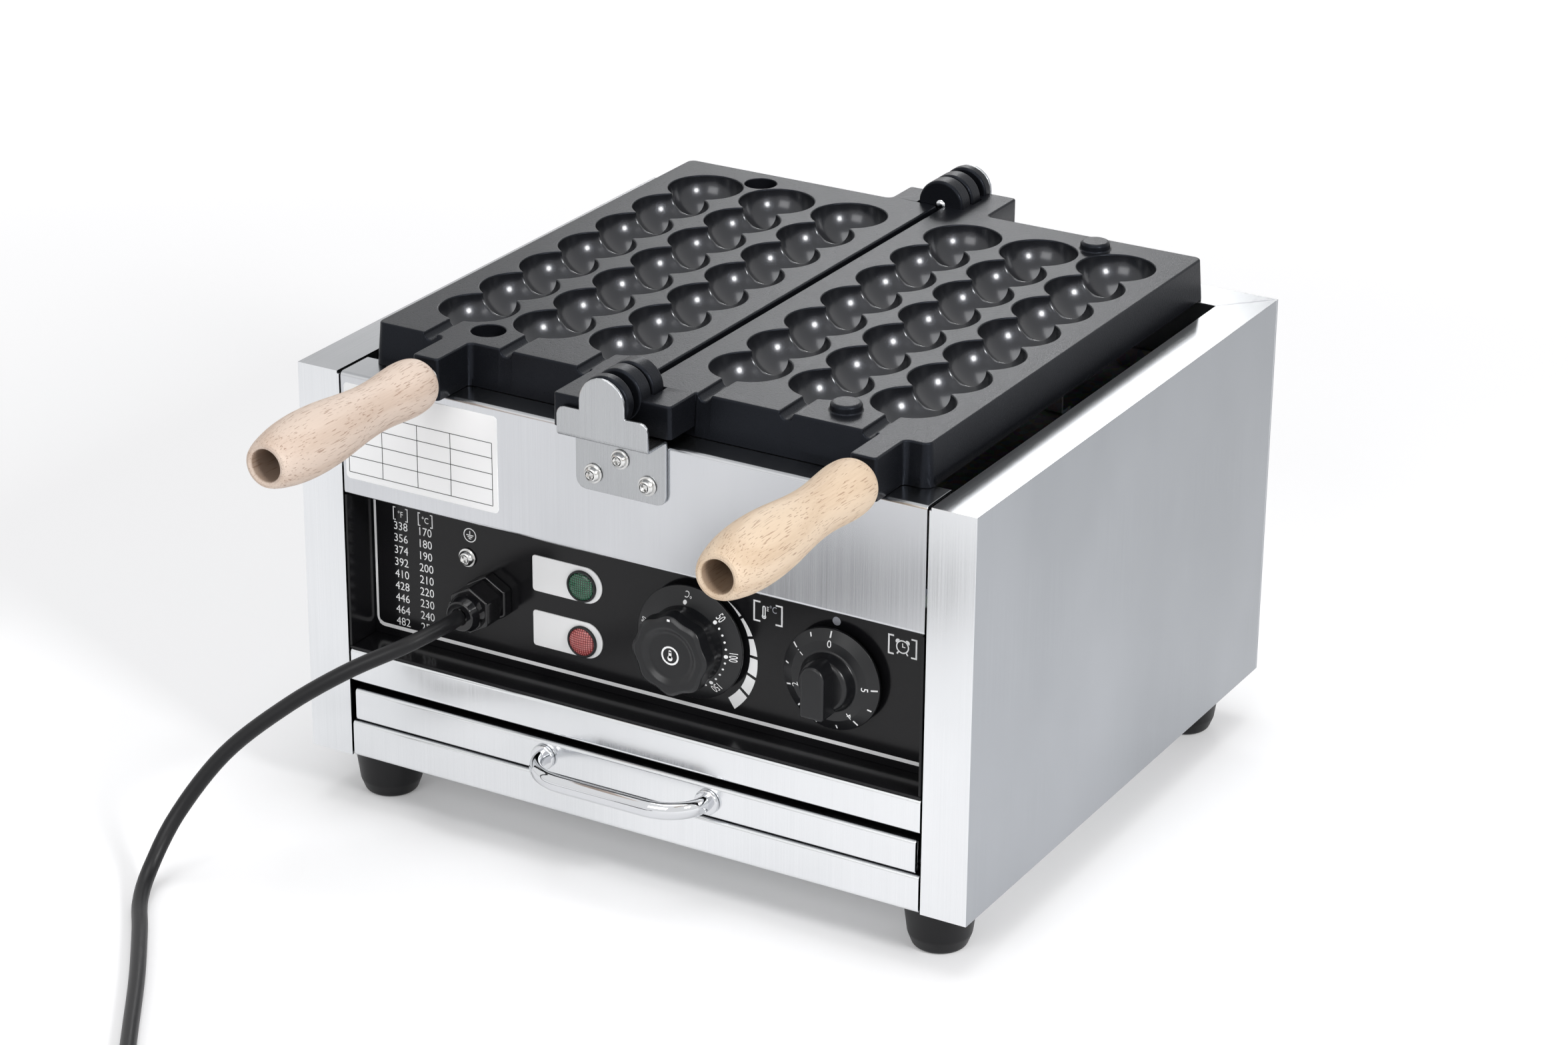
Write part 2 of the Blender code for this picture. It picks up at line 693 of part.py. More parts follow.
def make_housing():
    right = side_panel()
    finish(mirrored(right), "side_panel_left", "stainless")
    finish(right, "side_panel_right", "stainless")
    finish(front_upper_panel(), "front_upper_panel", "stainless")
    finish(back_panel(), "back_panel", "stainless")
    finish(base_plate(), "base_plate", "galvanised")
    finish(front_rail(0, LOWER_RAIL_HEIGHT), "lower_front_rail", "stainless")
    finish(front_rail(UPPER_RAIL_BOTTOM, LEDGE_Z - SHEET - GAP), "upper_front_rail", "stainless")
    for row, y in (("front", FOOT_INSET_Y), ("rear", HOUSING_DEPTH - FOOT_INSET_Y)):
        for side, sign in (("left", -1), ("right", 1)):
            x = sign * (HALF_WIDTH - FOOT_INSET_X)
            placed = moved(foot(), Matrix.Translation((x, y, 0)))
            finish(placed, f"foot_{row}_{side}", "black_rubber")


# Control panel and what it carries


def control_panel():
    panel = box((-CENTRE_HALF, CENTRE_HALF), (PANEL_RECESS, PANEL_BACK), (LEDGE_Z - SHEET, PANEL_TOP))
    holes = [
        (TEMPERATURE_X, TEMPERATURE_Z, NECK_RADIUS),
        (TIMER_X, TIMER_Z, NECK_RADIUS),
        (LAMP_X, LAMP_HIGH_Z, LAMP_BODY_RADIUS),
        (LAMP_X, LAMP_LOW_Z, LAMP_BODY_RADIUS),
        (EARTH_X, EARTH_Z, SCREW_SHANK_RADIUS),
        (GLAND_X, GLAND_Z, GLAND_THREAD_RADIUS),
    ]
    through = (PANEL_RECESS - OVERRUN, PANEL_BACK + OVERRUN)
    for x, z, radius in holes:
        cut(panel, cylinder(radius + RUNNING_GAP, through, x, z, 16))
    return panel


def make_recess():
    """The black panel at the back of the recess, its floor ledge and its two side returns."""
    finish(control_panel(), "control_panel", "black_panel")
    front = PANEL_RECESS - GAP
    ledge = box((-CENTRE_HALF, CENTRE_HALF), (0, front), (LEDGE_Z - SHEET, LEDGE_Z))
    finish(ledge, "recess_ledge", "black_panel")
    for name, sign in (("recess_side_left", -1), ("recess_side_right", 1)):
        x = (sign * (CENTRE_HALF - SHEET), sign * CENTRE_HALF)
        side = box(x, (0, front), (LEDGE_Z + GAP, UPPER_PANEL_BOTTOM - GAP))
        finish(side, name, "black_panel")


def bored_body(shell, x, z):
    """A control body behind the panel: its shell, a neck through the panel and a bore for the shaft."""
    neck = cylinder(NECK_RADIUS, (PANEL_RECESS - NECK_PROUD, PANEL_BACK + 2 * OVERRUN), x, z, 16)
    join(shell, neck)
    bore = (PANEL_RECESS - NECK_PROUD - OVERRUN, PANEL_BACK + SHAFT_IN_BODY + SHAFT_CLEARANCE)
    return cut(shell, cylinder(SHAFT_RADIUS + SHAFT_CLEARANCE, bore, x, z, 12))


def make_controls():
    """Thermostat and timer, with the shafts that their knobs turn."""
    front = PANEL_BACK + GAP
    can = box(
        (TEMPERATURE_X - THERMOSTAT_WIDTH / 2, TEMPERATURE_X + THERMOSTAT_WIDTH / 2),
        (front, front + THERMOSTAT_DEPTH),
        (TEMPERATURE_Z - THERMOSTAT_HEIGHT / 2, TEMPERATURE_Z + THERMOSTAT_HEIGHT / 2),
    )
    finish(bored_body(can, TEMPERATURE_X, TEMPERATURE_Z), "thermostat", "galvanised")
    drum = cylinder(TIMER_RADIUS, (front, front + TIMER_DEPTH), TIMER_X, TIMER_Z, 20)
    finish(bored_body(drum, TIMER_X, TIMER_Z), "timer", "galvanised")
    length = (KNOB_BACK - SHAFT_IN_KNOB, PANEL_BACK + SHAFT_IN_BODY)
    for name, body, x, z in (
        ("thermostat_shaft", "temperature", TEMPERATURE_X, TEMPERATURE_Z),
        ("timer_shaft", "timer_dial", TIMER_X, TIMER_Z),
    ):
        finish(cylinder(SHAFT_RADIUS, length, x, z, SHAFT_SIDES), name, "zinc_steel", body)


def lobed_ring(radius, depth):
    """Outline of the cap in the XZ plane: a circle with one shallow finger hollow between lobes."""
    count = LOBES * LOBE_STEPS
    points = []
    for step in range(count):
        turn = math.tau * step / count
        reach = radius - depth * (1 - math.cos(LOBES * turn)) / 2
        points.append(Vector((math.sin(turn) * reach, 0, math.cos(turn) * reach)))
    return points


def knob_bore(knob, x, z):
    bore = (KNOB_BACK - SHAFT_IN_KNOB - GAP, KNOB_BACK + OVERRUN)
    return cut(knob, cylinder(SHAFT_RADIUS + GAP, bore, x, z, 12))


def temperature_knob():
    """A dished skirt, a neck and a lobed cap that flares towards its face."""
    skirt_front = TEMPERATURE_SKIRT
    face = TEMPERATURE_KNOB_LENGTH
    stations = [
        (0, TEMPERATURE_SKIRT_RADIUS, 0),
        (skirt_front / 4, TEMPERATURE_SKIRT_RADIUS, 0),
        (skirt_front, TEMPERATURE_NECK_RADIUS + LOBE_DEPTH, 0),
        (face / 2, TEMPERATURE_NECK_RADIUS, LOBE_DEPTH / 2),
        (face * 3 / 4, TEMPERATURE_CAP_RADIUS, LOBE_DEPTH),
        (face - TEMPERATURE_DISH, TEMPERATURE_CAP_RADIUS - LOBE_DEPTH, LOBE_DEPTH),
        (face, (TEMPERATURE_CAP_RADIUS + TEMPERATURE_DISH_RADIUS) / 2, 0),
        (face, TEMPERATURE_DISH_RADIUS, 0),
        (face - TEMPERATURE_DISH, TEMPERATURE_DISH_RADIUS / 2, 0),
    ]
    bm = bmesh.new()
    rings = []
    for along, radius, depth in stations:
        place = Vector((TEMPERATURE_X, KNOB_BACK - along, TEMPERATURE_Z))
        rings.append([bm.verts.new(place + point) for point in lobed_ring(radius, depth)])
    for ring in (rings[0], rings[-1]):
        bm.faces.new(ring)
    for ring, following in zip(rings, rings[1:]):
        for corner in range(len(ring)):
            after = (corner + 1) % len(ring)
            bm.faces.new((ring[corner], ring[after], following[after], following[corner]))
    return knob_bore(draft(bm), TEMPERATURE_X, TEMPERATURE_Z)


def timer_knob():
    """A shallow dial skirt, a low hub and a grip bar with a rounded top end."""
    start = (TIMER_X, KNOB_BACK, TIMER_Z)
    profile = [
        (0, 0),
        (0, TIMER_SKIRT_RADIUS),
        (TIMER_SKIRT / 3, TIMER_SKIRT_RADIUS),
        (TIMER_SKIRT, (TIMER_SKIRT_RADIUS + TIMER_HUB_RADIUS) / 2),
        (TIMER_SKIRT * 4 / 3, TIMER_HUB_RADIUS),
        (TIMER_HUB_LENGTH, TIMER_HUB_RADIUS * 4 / 5),
        (TIMER_HUB_LENGTH, 0),
    ]
    knob = lathe(profile, start, (0, -1, 0), 24)
    half = TIMER_BAR_WIDTH / 2
    top = TIMER_BAR_LENGTH / 2 - half
    outline = [(-half, 0, -TIMER_BAR_LENGTH / 2), (half, 0, -TIMER_BAR_LENGTH / 2)]
    for step in range(7):
        turn = math.pi * step / 6
        outline.append((half * math.cos(turn), 0, top + half * math.sin(turn)))
    base = Vector(start) - Vector((0, TIMER_SKIRT / 2, 0))
    bar = prism(outline, base, (0, TIMER_SKIRT / 2 - TIMER_KNOB_LENGTH, 0))
    return knob_bore(join(knob, bar), TIMER_X, TIMER_Z)


def pan_head_screw(x, y, z, out):
    """A pan-head screw with its washer. Its washer's seat is at y and its head points along out * Y."""
    profile = [
        (-SCREW_SHANK, 0),
        (-SCREW_SHANK, SCREW_SHANK_RADIUS),
        (0, SCREW_SHANK_RADIUS),
        (0, SCREW_WASHER_RADIUS),
        (SCREW_WASHER, SCREW_WASHER_RADIUS),
        (SCREW_WASHER, SCREW_HEAD_RADIUS),
        (SCREW_WASHER + SCREW_HEAD / 2, SCREW_HEAD_RADIUS),
        (SCREW_WASHER + SCREW_HEAD, SCREW_HEAD_RADIUS / 2),
        (SCREW_WASHER + SCREW_HEAD, 0),
    ]
    return lathe(profile, (x, y, z), (0, out, 0), SCREW_SIDES)


def lamp(z):
    """A signal lamp: a domed lens in its bezel, and its body through the panel."""
    profile = [
        (-LAMP_BODY, 0),
        (-LAMP_BODY, LAMP_BODY_RADIUS),
        (GAP, LAMP_BODY_RADIUS),
        (GAP, LAMP_BEZEL_RADIUS),
        (LAMP_BEZEL, LAMP_BEZEL_RADIUS),
        (LAMP_BEZEL, LAMP_RADIUS),
        (LAMP_BEZEL + LAMP_LENS / 2, LAMP_RADIUS * 4 / 5),
        (LAMP_BEZEL + LAMP_LENS, LAMP_RADIUS / 3),
        (LAMP_BEZEL + LAMP_LENS, 0),
    ]
    return lathe(profile, (LAMP_X, PANEL_RECESS, z), (0, -1, 0), 16)


def cable_gland():
    """A gland with a hexagonal foot and nut, a tapered mouth and a thread through the panel."""
    centre = (GLAND_X, PANEL_RECESS - GAP, GLAND_Z)
    foot_end = GLAND_FLANGE
    nut_start = foot_end + GLAND_NECK
    nut_end = nut_start + GLAND_NUT
    core = [
        (-GLAND_THREAD, 0),
        (-GLAND_THREAD, GLAND_THREAD_RADIUS),
        (foot_end / 2, GLAND_THREAD_RADIUS),
        (foot_end / 2, GLAND_NECK_RADIUS),
        (nut_end, GLAND_NECK_RADIUS),
        (nut_end + GLAND_TAPER / 2, (GLAND_NECK_RADIUS + GLAND_MOUTH_RADIUS) / 2 + GAP),
        (nut_end + GLAND_TAPER, GLAND_MOUTH_RADIUS),
        (nut_end + GLAND_TAPER, 0),
    ]
    gland = lathe(core, centre, (0, -1, 0), 18)
    for start, end, radius in ((0, foot_end, GLAND_FLANGE_RADIUS), (nut_start, nut_end, GLAND_NUT_RADIUS)):
        bevel = (end - start) / 5
        hexagon = [(start, 0), (start, radius), (end - bevel, radius), (end, radius - bevel), (end, 0)]
        join(gland, lathe(hexagon, centre, (0, -1, 0), 6))
    return gland


def gland_locknut():
    front = PANEL_BACK + GAP
    nut = cylinder(LOCKNUT_RADIUS, (front, front + LOCKNUT), GLAND_X, GLAND_Z, 6)
    hole = (front - OVERRUN, front + LOCKNUT + OVERRUN)
    return cut(nut, cylinder(GLAND_THREAD_RADIUS + GAP, hole, GLAND_X, GLAND_Z, 18))


def terminal_block():
    """A moulded block behind the panel with a walled pocket for each pole."""
    front = PANEL_BACK + GAP
    low = TERMINAL_X - TERMINAL_LENGTH / 2
    block = box(
        (low, low + TERMINAL_LENGTH),
        (front, front + TERMINAL_DEPTH),
        (TERMINAL_Z - TERMINAL_HEIGHT / 2, TERMINAL_Z + TERMINAL_HEIGHT / 2),
    )
    bay = (TERMINAL_LENGTH - (TERMINAL_POLES + 1) * TERMINAL_BARRIER) / TERMINAL_POLES
    for pole in range(TERMINAL_POLES):
        left = low + TERMINAL_BARRIER + pole * (bay + TERMINAL_BARRIER)
        pocket = box(
            (left, left + bay),
            (front + TERMINAL_DEPTH - TERMINAL_POCKET, front + TERMINAL_DEPTH + OVERRUN),
            (TERMINAL_Z - TERMINAL_HEIGHT, TERMINAL_Z + TERMINAL_HEIGHT),
        )
        cut(block, pocket)
    return block


def make_panel_fittings():
    finish(temperature_knob(), "temperature_knob", "black_plastic", "temperature")
    finish(timer_knob(), "timer_knob", "black_plastic", "timer_dial")
    finish(lamp(LAMP_HIGH_Z), "power_lamp", "green_lens")
    finish(lamp(LAMP_LOW_Z), "heat_lamp", "red_lens")
    screw = pan_head_screw(EARTH_X, PANEL_RECESS - GAP, EARTH_Z, -1)
    finish(screw, "earth_screw", "zinc_steel")
    finish(cable_gland(), "cable_gland", "black_plastic")
    finish(gland_locknut(), "gland_locknut", "black_plastic")
    finish(terminal_block(), "terminal_block", "ivory_plastic")


# Plates and their hinge


def scallops(radius, rings):
    """Profile of a row of overlapping balls about the row's own axis. The two end balls get one ring more."""
    neck = math.asin(BALL_PITCH / 2 / radius)
    points = []
    for ball in range(BALLS):
        first, last = ball == 0, ball == BALLS - 1
        centre = FIRST_BALL + ball * BALL_PITCH
        start = -math.pi / 2 if first else -neck
        end = math.pi / 2 if last else neck
        steps = rings if first or last else rings - 1
        for step in range(0 if first else 1, steps + 1):
            turn = start + (end - start) * step / steps
            points.append((centre + radius * math.sin(turn), radius * math.cos(turn)))
    points[0] = (points[0][0], 0)
    points[-1] = (points[-1][0], 0)
    return points


def row_of_domes(x):
    return lathe(scallops(CAVITY_RADIUS + CAVITY_WALL, DOME_RINGS), (x, 0, PLATE_TOP), (0, 1, 0), DOME_SIDES)


def row_of_cavities(x):
    """The balls of one row and the groove for the stick, which runs out through the plate's front edge.

    The row's axis lies a hair over the top face, so that none of its corners lies in that face.
    """
    balls = [point for point in scallops(CAVITY_RADIUS, CAVITY_RINGS) if point[1] > STICK_GROOVE_RADIUS]
    start = PLATE_FRONT - PLATE_DRAFT - OVERRUN
    reach = math.sqrt(CAVITY_RADIUS**2 - STICK_GROOVE_RADIUS**2)
    groove = [(start, 0), (start, STICK_GROOVE_RADIUS), (FIRST_BALL - reach, STICK_GROOVE_RADIUS)]
    last = FIRST_BALL + (BALLS - 1) * BALL_PITCH + CAVITY_RADIUS
    axis = (x, 0, PLATE_TOP + ROW_RISE)
    return lathe(groove + balls + [(last, 0)], axis, (0, 1, 0), CAVITY_SIDES)


def tapered_block(x, y, z, draft_x, draft_y):
    """A block whose sides flare downwards by a draft at the given ends of X and Y."""
    block = box(x, y, z)
    for vertex in block.data.vertices:
        if vertex.co.z > (z[0] + z[1]) / 2:
            continue
        at_low_x = vertex.co.x < (x[0] + x[1]) / 2
        at_low_y = vertex.co.y < (y[0] + y[1]) / 2
        vertex.co.x += -draft_x[0] if at_low_x else draft_x[1]
        vertex.co.y += -draft_y[0] if at_low_y else draft_y[1]
    return block


def plate_blank():
    """The left plate before its rows and arm: rim, deck, domes and the two hinge blocks, cut flat on top."""
    over = PLATE_TOP + 2 * OVERRUN
    plate = tapered_block(
        (-PLATE_OUTER, -PLATE_INNER_EDGE), (PLATE_FRONT, PLATE_REAR), (PLATE_BOTTOM, over),
        (PLATE_DRAFT, 0), (PLATE_DRAFT, PLATE_DRAFT),
    )
    hollow = box(
        (-PLATE_OUTER + RIM_WALL, -PLATE_INNER_EDGE - RIM_WALL),
        (PLATE_FRONT + RIM_WALL, PLATE_REAR - RIM_WALL),
        (PLATE_BOTTOM - OVERRUN, PLATE_TOP - DECK),
    )
    cut(plate, hollow)
    block_x = (-HINGE_BLOCK_WIDTH, -PLATE_INNER_EDGE)
    block_z = (PLATE_TOP - HINGE_BLOCK_HEIGHT, over)
    rim_middle = RIM_WALL / 2
    middle_end = HOUSING_DEPTH - MIDDLE_KNUCKLE_Y[0]
    join(
        plate,
        box(block_x, (OUTER_KNUCKLE_Y[0] + KNUCKLE_PROUD, PLATE_FRONT + rim_middle), block_z),
        box(block_x, (PLATE_REAR - rim_middle, middle_end - KNUCKLE_PROUD), block_z),
    )
    return plate


def hinge_on(plate):
    """Knuckles of the left plate, the pockets that clear the other plate's knuckles, and the pins' bores."""
    front = [OUTER_KNUCKLE_Y, INNER_KNUCKLE_Y]
    rear = [(HOUSING_DEPTH - MIDDLE_KNUCKLE_Y[1], HOUSING_DEPTH - MIDDLE_KNUCKLE_Y[0])]
    side = INNER_KNUCKLE_GAP / 2
    pockets = [
        (MIDDLE_KNUCKLE_Y[0] - side, MIDDLE_KNUCKLE_Y[1] + side),
        (HOUSING_DEPTH - INNER_KNUCKLE_Y[1] - side, HOUSING_DEPTH - INNER_KNUCKLE_Y[0] + side),
    ]
    for y in pockets:
        cut(plate, cylinder(KNUCKLE_RADIUS + POCKET_CLEARANCE, y, 0, AXIS_Z, KNUCKLE_SIDES))
    for y in front + rear:
        join(plate, cylinder(KNUCKLE_RADIUS, y, 0, AXIS_Z, KNUCKLE_SIDES))
    bores = [
        (OUTER_KNUCKLE_Y[0] - OVERRUN, INNER_KNUCKLE_Y[1] + OVERRUN / 2),
        (HOUSING_DEPTH - INNER_KNUCKLE_Y[1] - OVERRUN / 2, HOUSING_DEPTH - MIDDLE_KNUCKLE_Y[0] + OVERRUN),
    ]
    for y in bores:
        cut(plate, cylinder(PIN_RADIUS + RUNNING_GAP, y, 0, AXIS_Z, PIN_SIDES))
    return plate


def handle_arm(x):
    over = PLATE_TOP + 2 * OVERRUN
    width = (x - ARM_WIDTH / 2, x + ARM_WIDTH / 2)
    return box(width, (ARM_FRONT, PLATE_FRONT + RIM_WALL / 2), (PLATE_BOTTOM, over))


def finished_plate(plate, side, arm_x):
    """Adds what isn't the same on both plates, then cuts the top flat and sinks the rows into it."""
    join(plate, handle_arm(arm_x))
    for place in ROW_PLACES:
        join(plate, row_of_domes(side * place))
    reach = 2 * HOUSING_WIDTH
    lid = (PLATE_TOP, PLATE_TOP + 2 * CAVITY_RADIUS)
    cut(plate, box((-reach, reach), (-reach, reach), lid))
    if side < 0:
        hinge_on(plate)
    else:
        turned_about_middle(hinge_on(turned_about_middle(plate)))
    for place in ROW_PLACES:
        cut(plate, row_of_cavities(side * place))
    bolt = (ARM_FRONT - OVERRUN, ARM_FRONT + BOLT_GRIP + GAP)
    return cut(plate, cylinder(BOLT_RADIUS + GAP, bolt, arm_x, HANDLE_Z, 12))


def peg_places(side):
    return [(side * PEG_X, PLATE_FRONT + PEG_FRONT_INSET), (side * PEG_X, PLATE_REAR - PEG_REAR_INSET)]


def left_plate():
    plate = finished_plate(plate_blank(), -1, LEFT_ARM_X)
    for x, y in peg_places(-1):
        hole = [
            (-OVERRUN, 0),
            (-OVERRUN, PEG_HOLE_RADIUS),
            (PEG_HOLE_DEPTH, PEG_HOLE_RADIUS),
            (PEG_HOLE_DEPTH, 0),
        ]
        cut(plate, lathe(hole, (x, y, PLATE_TOP), (0, 0, -1), 16))
    return plate


def right_plate():
    plate = finished_plate(turned_about_middle(plate_blank()), 1, RIGHT_ARM_X)
    for x, y in peg_places(1):
        peg = [
            (-DECK / 2, 0),
            (-DECK / 2, PEG_RADIUS),
            (PEG_HEIGHT * 3 / 4, PEG_RADIUS),
            (PEG_HEIGHT, PEG_RADIUS - PEG_HEIGHT / 4),
            (PEG_HEIGHT, 0),
        ]
        join(plate, lathe(peg, (x, y, PLATE_TOP), (0, 0, 1), 16))
    return plate


def hinge_pin():
    """The front pin, welded behind the bracket's tab and rounded at its free end."""
    start = -BRACKET_STANDOFF + BRACKET_SHEET + GAP
    end = INNER_KNUCKLE_Y[1] + PIN_PROUD
    length = end - start
    profile = [
        (0, 0),
        (0, PIN_RADIUS),
        (length - PIN_PROUD, PIN_RADIUS),
        (length - PIN_PROUD / 4, PIN_RADIUS * 2 / 3),
        (length, 0),
    ]
    return lathe(profile, (0, start, AXIS_Z), (0, 1, 0), PIN_SIDES)


def corner_arc(x, z, radius, start, steps):
    """Points of a quarter arc in the XZ plane about (x, z)."""
    turns = [start + math.pi / 2 * step / steps for step in range(steps + 1)]
    return [(x + radius * math.cos(turn), 0, z + radius * math.sin(turn)) for turn in turns]


def bracket_outline():
    """Front view of the bracket: rounded foot, shoulders and the tab's arc about the hinge axis."""
    half = BRACKET_HALF_WIDTH
    low = HOUSING_HEIGHT - BRACKET_DROP
    shoulder = AXIS_Z - SHOULDER_DROP
    right = corner_arc(half - BRACKET_CORNER, low + BRACKET_CORNER, BRACKET_CORNER, -math.pi / 2, 3)
    right += corner_arc(half - SHOULDER_CORNER, shoulder - SHOULDER_CORNER, SHOULDER_CORNER, 0, 3)
    right += [(TAB_RADIUS, 0, shoulder)]
    right += corner_arc(0, AXIS_Z, TAB_RADIUS, 0, 6)
    left = [(-x, y, z) for x, y, z in reversed(right[:-1])]
    return right + left


def hinge_bracket():
    """Sheet bent twice, so that its foot lies on the housing and its tab stands out in front of the hinge."""
    face = -GAP
    tab = -BRACKET_STANDOFF + BRACKET_SHEET
    shelf = HOUSING_HEIGHT + BRACKET_SHELF_RISE
    top = AXIS_Z + TAB_RADIUS + OVERRUN
    low = HOUSING_HEIGHT - BRACKET_DROP - OVERRUN
    path = [(face, low), (face, shelf), (tab, shelf), (tab, top)]
    wide = BRACKET_HALF_WIDTH + OVERRUN
    sheet = folded_sheet(path, BRACKET_SHEET, (-wide, wide))
    reach = BRACKET_STANDOFF + 2 * OVERRUN
    combine(sheet, prism(bracket_outline(), (0, -reach, 0), (0, reach + OVERRUN, 0)), "INTERSECT")
    for x, z in bracket_screw_places():
        hole = (-BRACKET_SHEET - OVERRUN, OVERRUN)
        cut(sheet, cylinder(SCREW_SHANK_RADIUS + GAP, hole, x, z, SCREW_SIDES))
    return sheet


def bracket_screw_places():
    low = HOUSING_HEIGHT - BRACKET_SCREW_DROP
    return [
        (-BRACKET_SCREW_SPREAD, low),
        (0, HOUSING_HEIGHT - BRACKET_TOP_SCREW_DROP),
        (BRACKET_SCREW_SPREAD, low),
    ]


def make_hinges():
    front = hinge_bracket()
    finish(turned_about_middle(mirrored(front)), "rear_hinge_bracket", "stainless")
    finish(front, "front_hinge_bracket", "stainless")
    pin = hinge_pin()
    finish(turned_about_middle(mirrored(pin)), "rear_hinge_pin", "chrome")
    finish(pin, "front_hinge_pin", "chrome")
    seat = -GAP - BRACKET_SHEET - GAP
    for number, (x, z) in enumerate(bracket_screw_places(), start=1):
        screw = pan_head_screw(x, seat, z, -1)
        finish(turned_about_middle(mirrored(screw)), f"rear_bracket_screw_{number}", "zinc_steel")
        finish(screw, f"front_bracket_screw_{number}", "zinc_steel")


def screw_holes(wall, y):
    """The bracket screws' holes through a housing wall that spans y."""
    for x, z in bracket_screw_places():
        through = (min(y) - OVERRUN, max(y) + OVERRUN)
        cut(wall, cylinder(SCREW_SHANK_RADIUS + GAP, through, x, z, SCREW_SIDES))
    return wall


# Handles


def wooden_handle(x):
    """Turned grip with a full inner end, a waist and a rounded outer end, bored out for the bolt's head."""
    profile = [
        (share * HANDLE_LENGTH, radius * HANDLE_RADIUS)
        for share, radius in zip(HANDLE_LENGTH_SHARES, HANDLE_RADIUS_SHARES)
    ]
    profile = [(0, 0)] + profile + [(HANDLE_LENGTH, 0)]
    handle = lathe(profile, (x, HANDLE_INNER_END, HANDLE_Z), (0, -1, 0), HANDLE_SIDES)
    bore = (HANDLE_OUTER_END - OVERRUN, HANDLE_OUTER_END + HANDLE_BORE_DEPTH)
    drill = (HANDLE_OUTER_END, HANDLE_INNER_END + OVERRUN)
    cut(handle, cylinder(HANDLE_BORE_RADIUS, bore, x, HANDLE_Z, HANDLE_BORE_SIDES))
    return cut(handle, cylinder(BOLT_RADIUS + GAP, drill, x, HANDLE_Z, 12))


def ferrule(x):
    y = (HANDLE_INNER_END + GAP, ARM_FRONT - GAP)
    ring = cylinder(FERRULE_RADIUS, y, x, HANDLE_Z, HANDLE_BORE_SIDES)
    hole = (y[0] - OVERRUN, y[1] + OVERRUN)
    return cut(ring, cylinder(BOLT_RADIUS + GAP, hole, x, HANDLE_Z, 12))


def handle_bolt(x):
    """A long bolt, its hexagonal head seated at the foot of the grip's bore and its end in the arm."""
    seat = HANDLE_OUTER_END + HANDLE_BORE_DEPTH - GAP
    shank = cylinder(BOLT_RADIUS, (seat - BOLT_HEAD / 2, ARM_FRONT + BOLT_GRIP), x, HANDLE_Z, 12)
    return join(shank, cylinder(BOLT_HEAD_RADIUS, (seat - BOLT_HEAD, seat), x, HANDLE_Z, 6))


def make_plates():
    for side, body, plate, x in (
        ("left", "left_plate", left_plate(), LEFT_ARM_X),
        ("right", "right_plate", right_plate(), RIGHT_ARM_X),
    ):
        finish(plate, f"mould_{side}", "cast_black", body)
        finish(ferrule(x), f"ferrule_{side}", "zinc_steel", body)
        finish(handle_bolt(x), f"handle_bolt_{side}", "zinc_steel", body)
        finish(wooden_handle(x), f"handle_{side}", "beech", body)


# Heating


def element_path(side):
    """Hairpin between the rows of one plate, its two ends turned down through the heat shield."""
    near = side * (ROW_PLACES[0] + ROW_PLACES[1]) / 2
    far = side * (ROW_PLACES[1] + ROW_PLACES[2]) / 2
    front = PLATE_FRONT + ELEMENT_FRONT_INSET
    rear = PLATE_REAR - ELEMENT_REAR_INSET
    low = SHIELD_Z - ELEMENT_TAIL
    corners = [
        (near, front, low),
        (near, front, ELEMENT_Z),
        (near, rear, ELEMENT_Z),
        (far, rear, ELEMENT_Z),
        (far, front, ELEMENT_Z),
        (far, front, low),
    ]
    return filleted(corners, ELEMENT_LEG_BEND, 3)


def heat_shield():
    """A folded tray between the elements and the wiring, with holes for the elements' ends."""
    edge = HALF_WIDTH - SHEET - GAP
    front = SHEET + GAP
    rear = HOUSING_DEPTH - 2 * SHEET - 2 * GAP
    path = [
        (front, SHIELD_Z + SHIELD_FLANGE),
        (front, SHIELD_Z),
        (rear, SHIELD_Z),
        (rear, SHIELD_Z + SHIELD_FLANGE),
    ]
    shield = folded_sheet(path, SHIELD_SHEET, (-edge, edge))
    hole = ELEMENT_RADIUS + ELEMENT_HOLE_CLEARANCE
    for side in (-1, 1):
        for x, y, z in (element_path(side)[0], element_path(side)[-1]):
            ends = [(0, 0), (0, hole), (ELEMENT_TAIL * 2, hole), (ELEMENT_TAIL * 2, 0)]
            cut(shield, lathe(ends, (x, y, z), (0, 0, 1), 12))
    return shield


def element_support(y):
    """An angle strip across both elements, standing on the heat shield."""
    bottom = SHIELD_Z + SHIELD_SHEET + GAP
    top = ELEMENT_Z - ELEMENT_RADIUS - GAP
    path = [(y, top), (y, bottom), (y + SUPPORT_FOOT, bottom)]
    edge = ROW_PLACES[-1] - SUPPORT_END
    return folded_sheet(path, SUPPORT_SHEET, (-edge, edge))


def make_heating():
    finish(heat_shield(), "heat_shield", "galvanised")
    finish(element_support(PLATE_FRONT + SUPPORT_INSET), "element_support_front", "galvanised")
    finish(element_support(PLATE_REAR - SUPPORT_INSET), "element_support_rear", "galvanised")
    for name, side in (("left", -1), ("right", 1)):
        finish(tube(element_path(side), ELEMENT_RADIUS, 1), f"heating_element_{name}", "element_steel")


# Drawer


def drawer_runner():
    """An inverted channel on the base plate, which the right edge of the tray slides on."""
    outer = FRONT_EDGE - RUNNER_EDGE_GAP
    inner = outer - RUNNER_WIDTH
    bottom = SHEET + GAP
    top = DRAWER_BOTTOM
    y = (RAIL_FLANGE + 2 * GAP, HOUSING_DEPTH - SHEET - 2 * GAP)
    channel = box((inner, outer), y, (bottom, top))
    hollow = box((inner + SHEET, outer - SHEET), (y[0] - OVERRUN, y[1] + OVERRUN), (0, top - SHEET))
    return cut(channel, hollow)


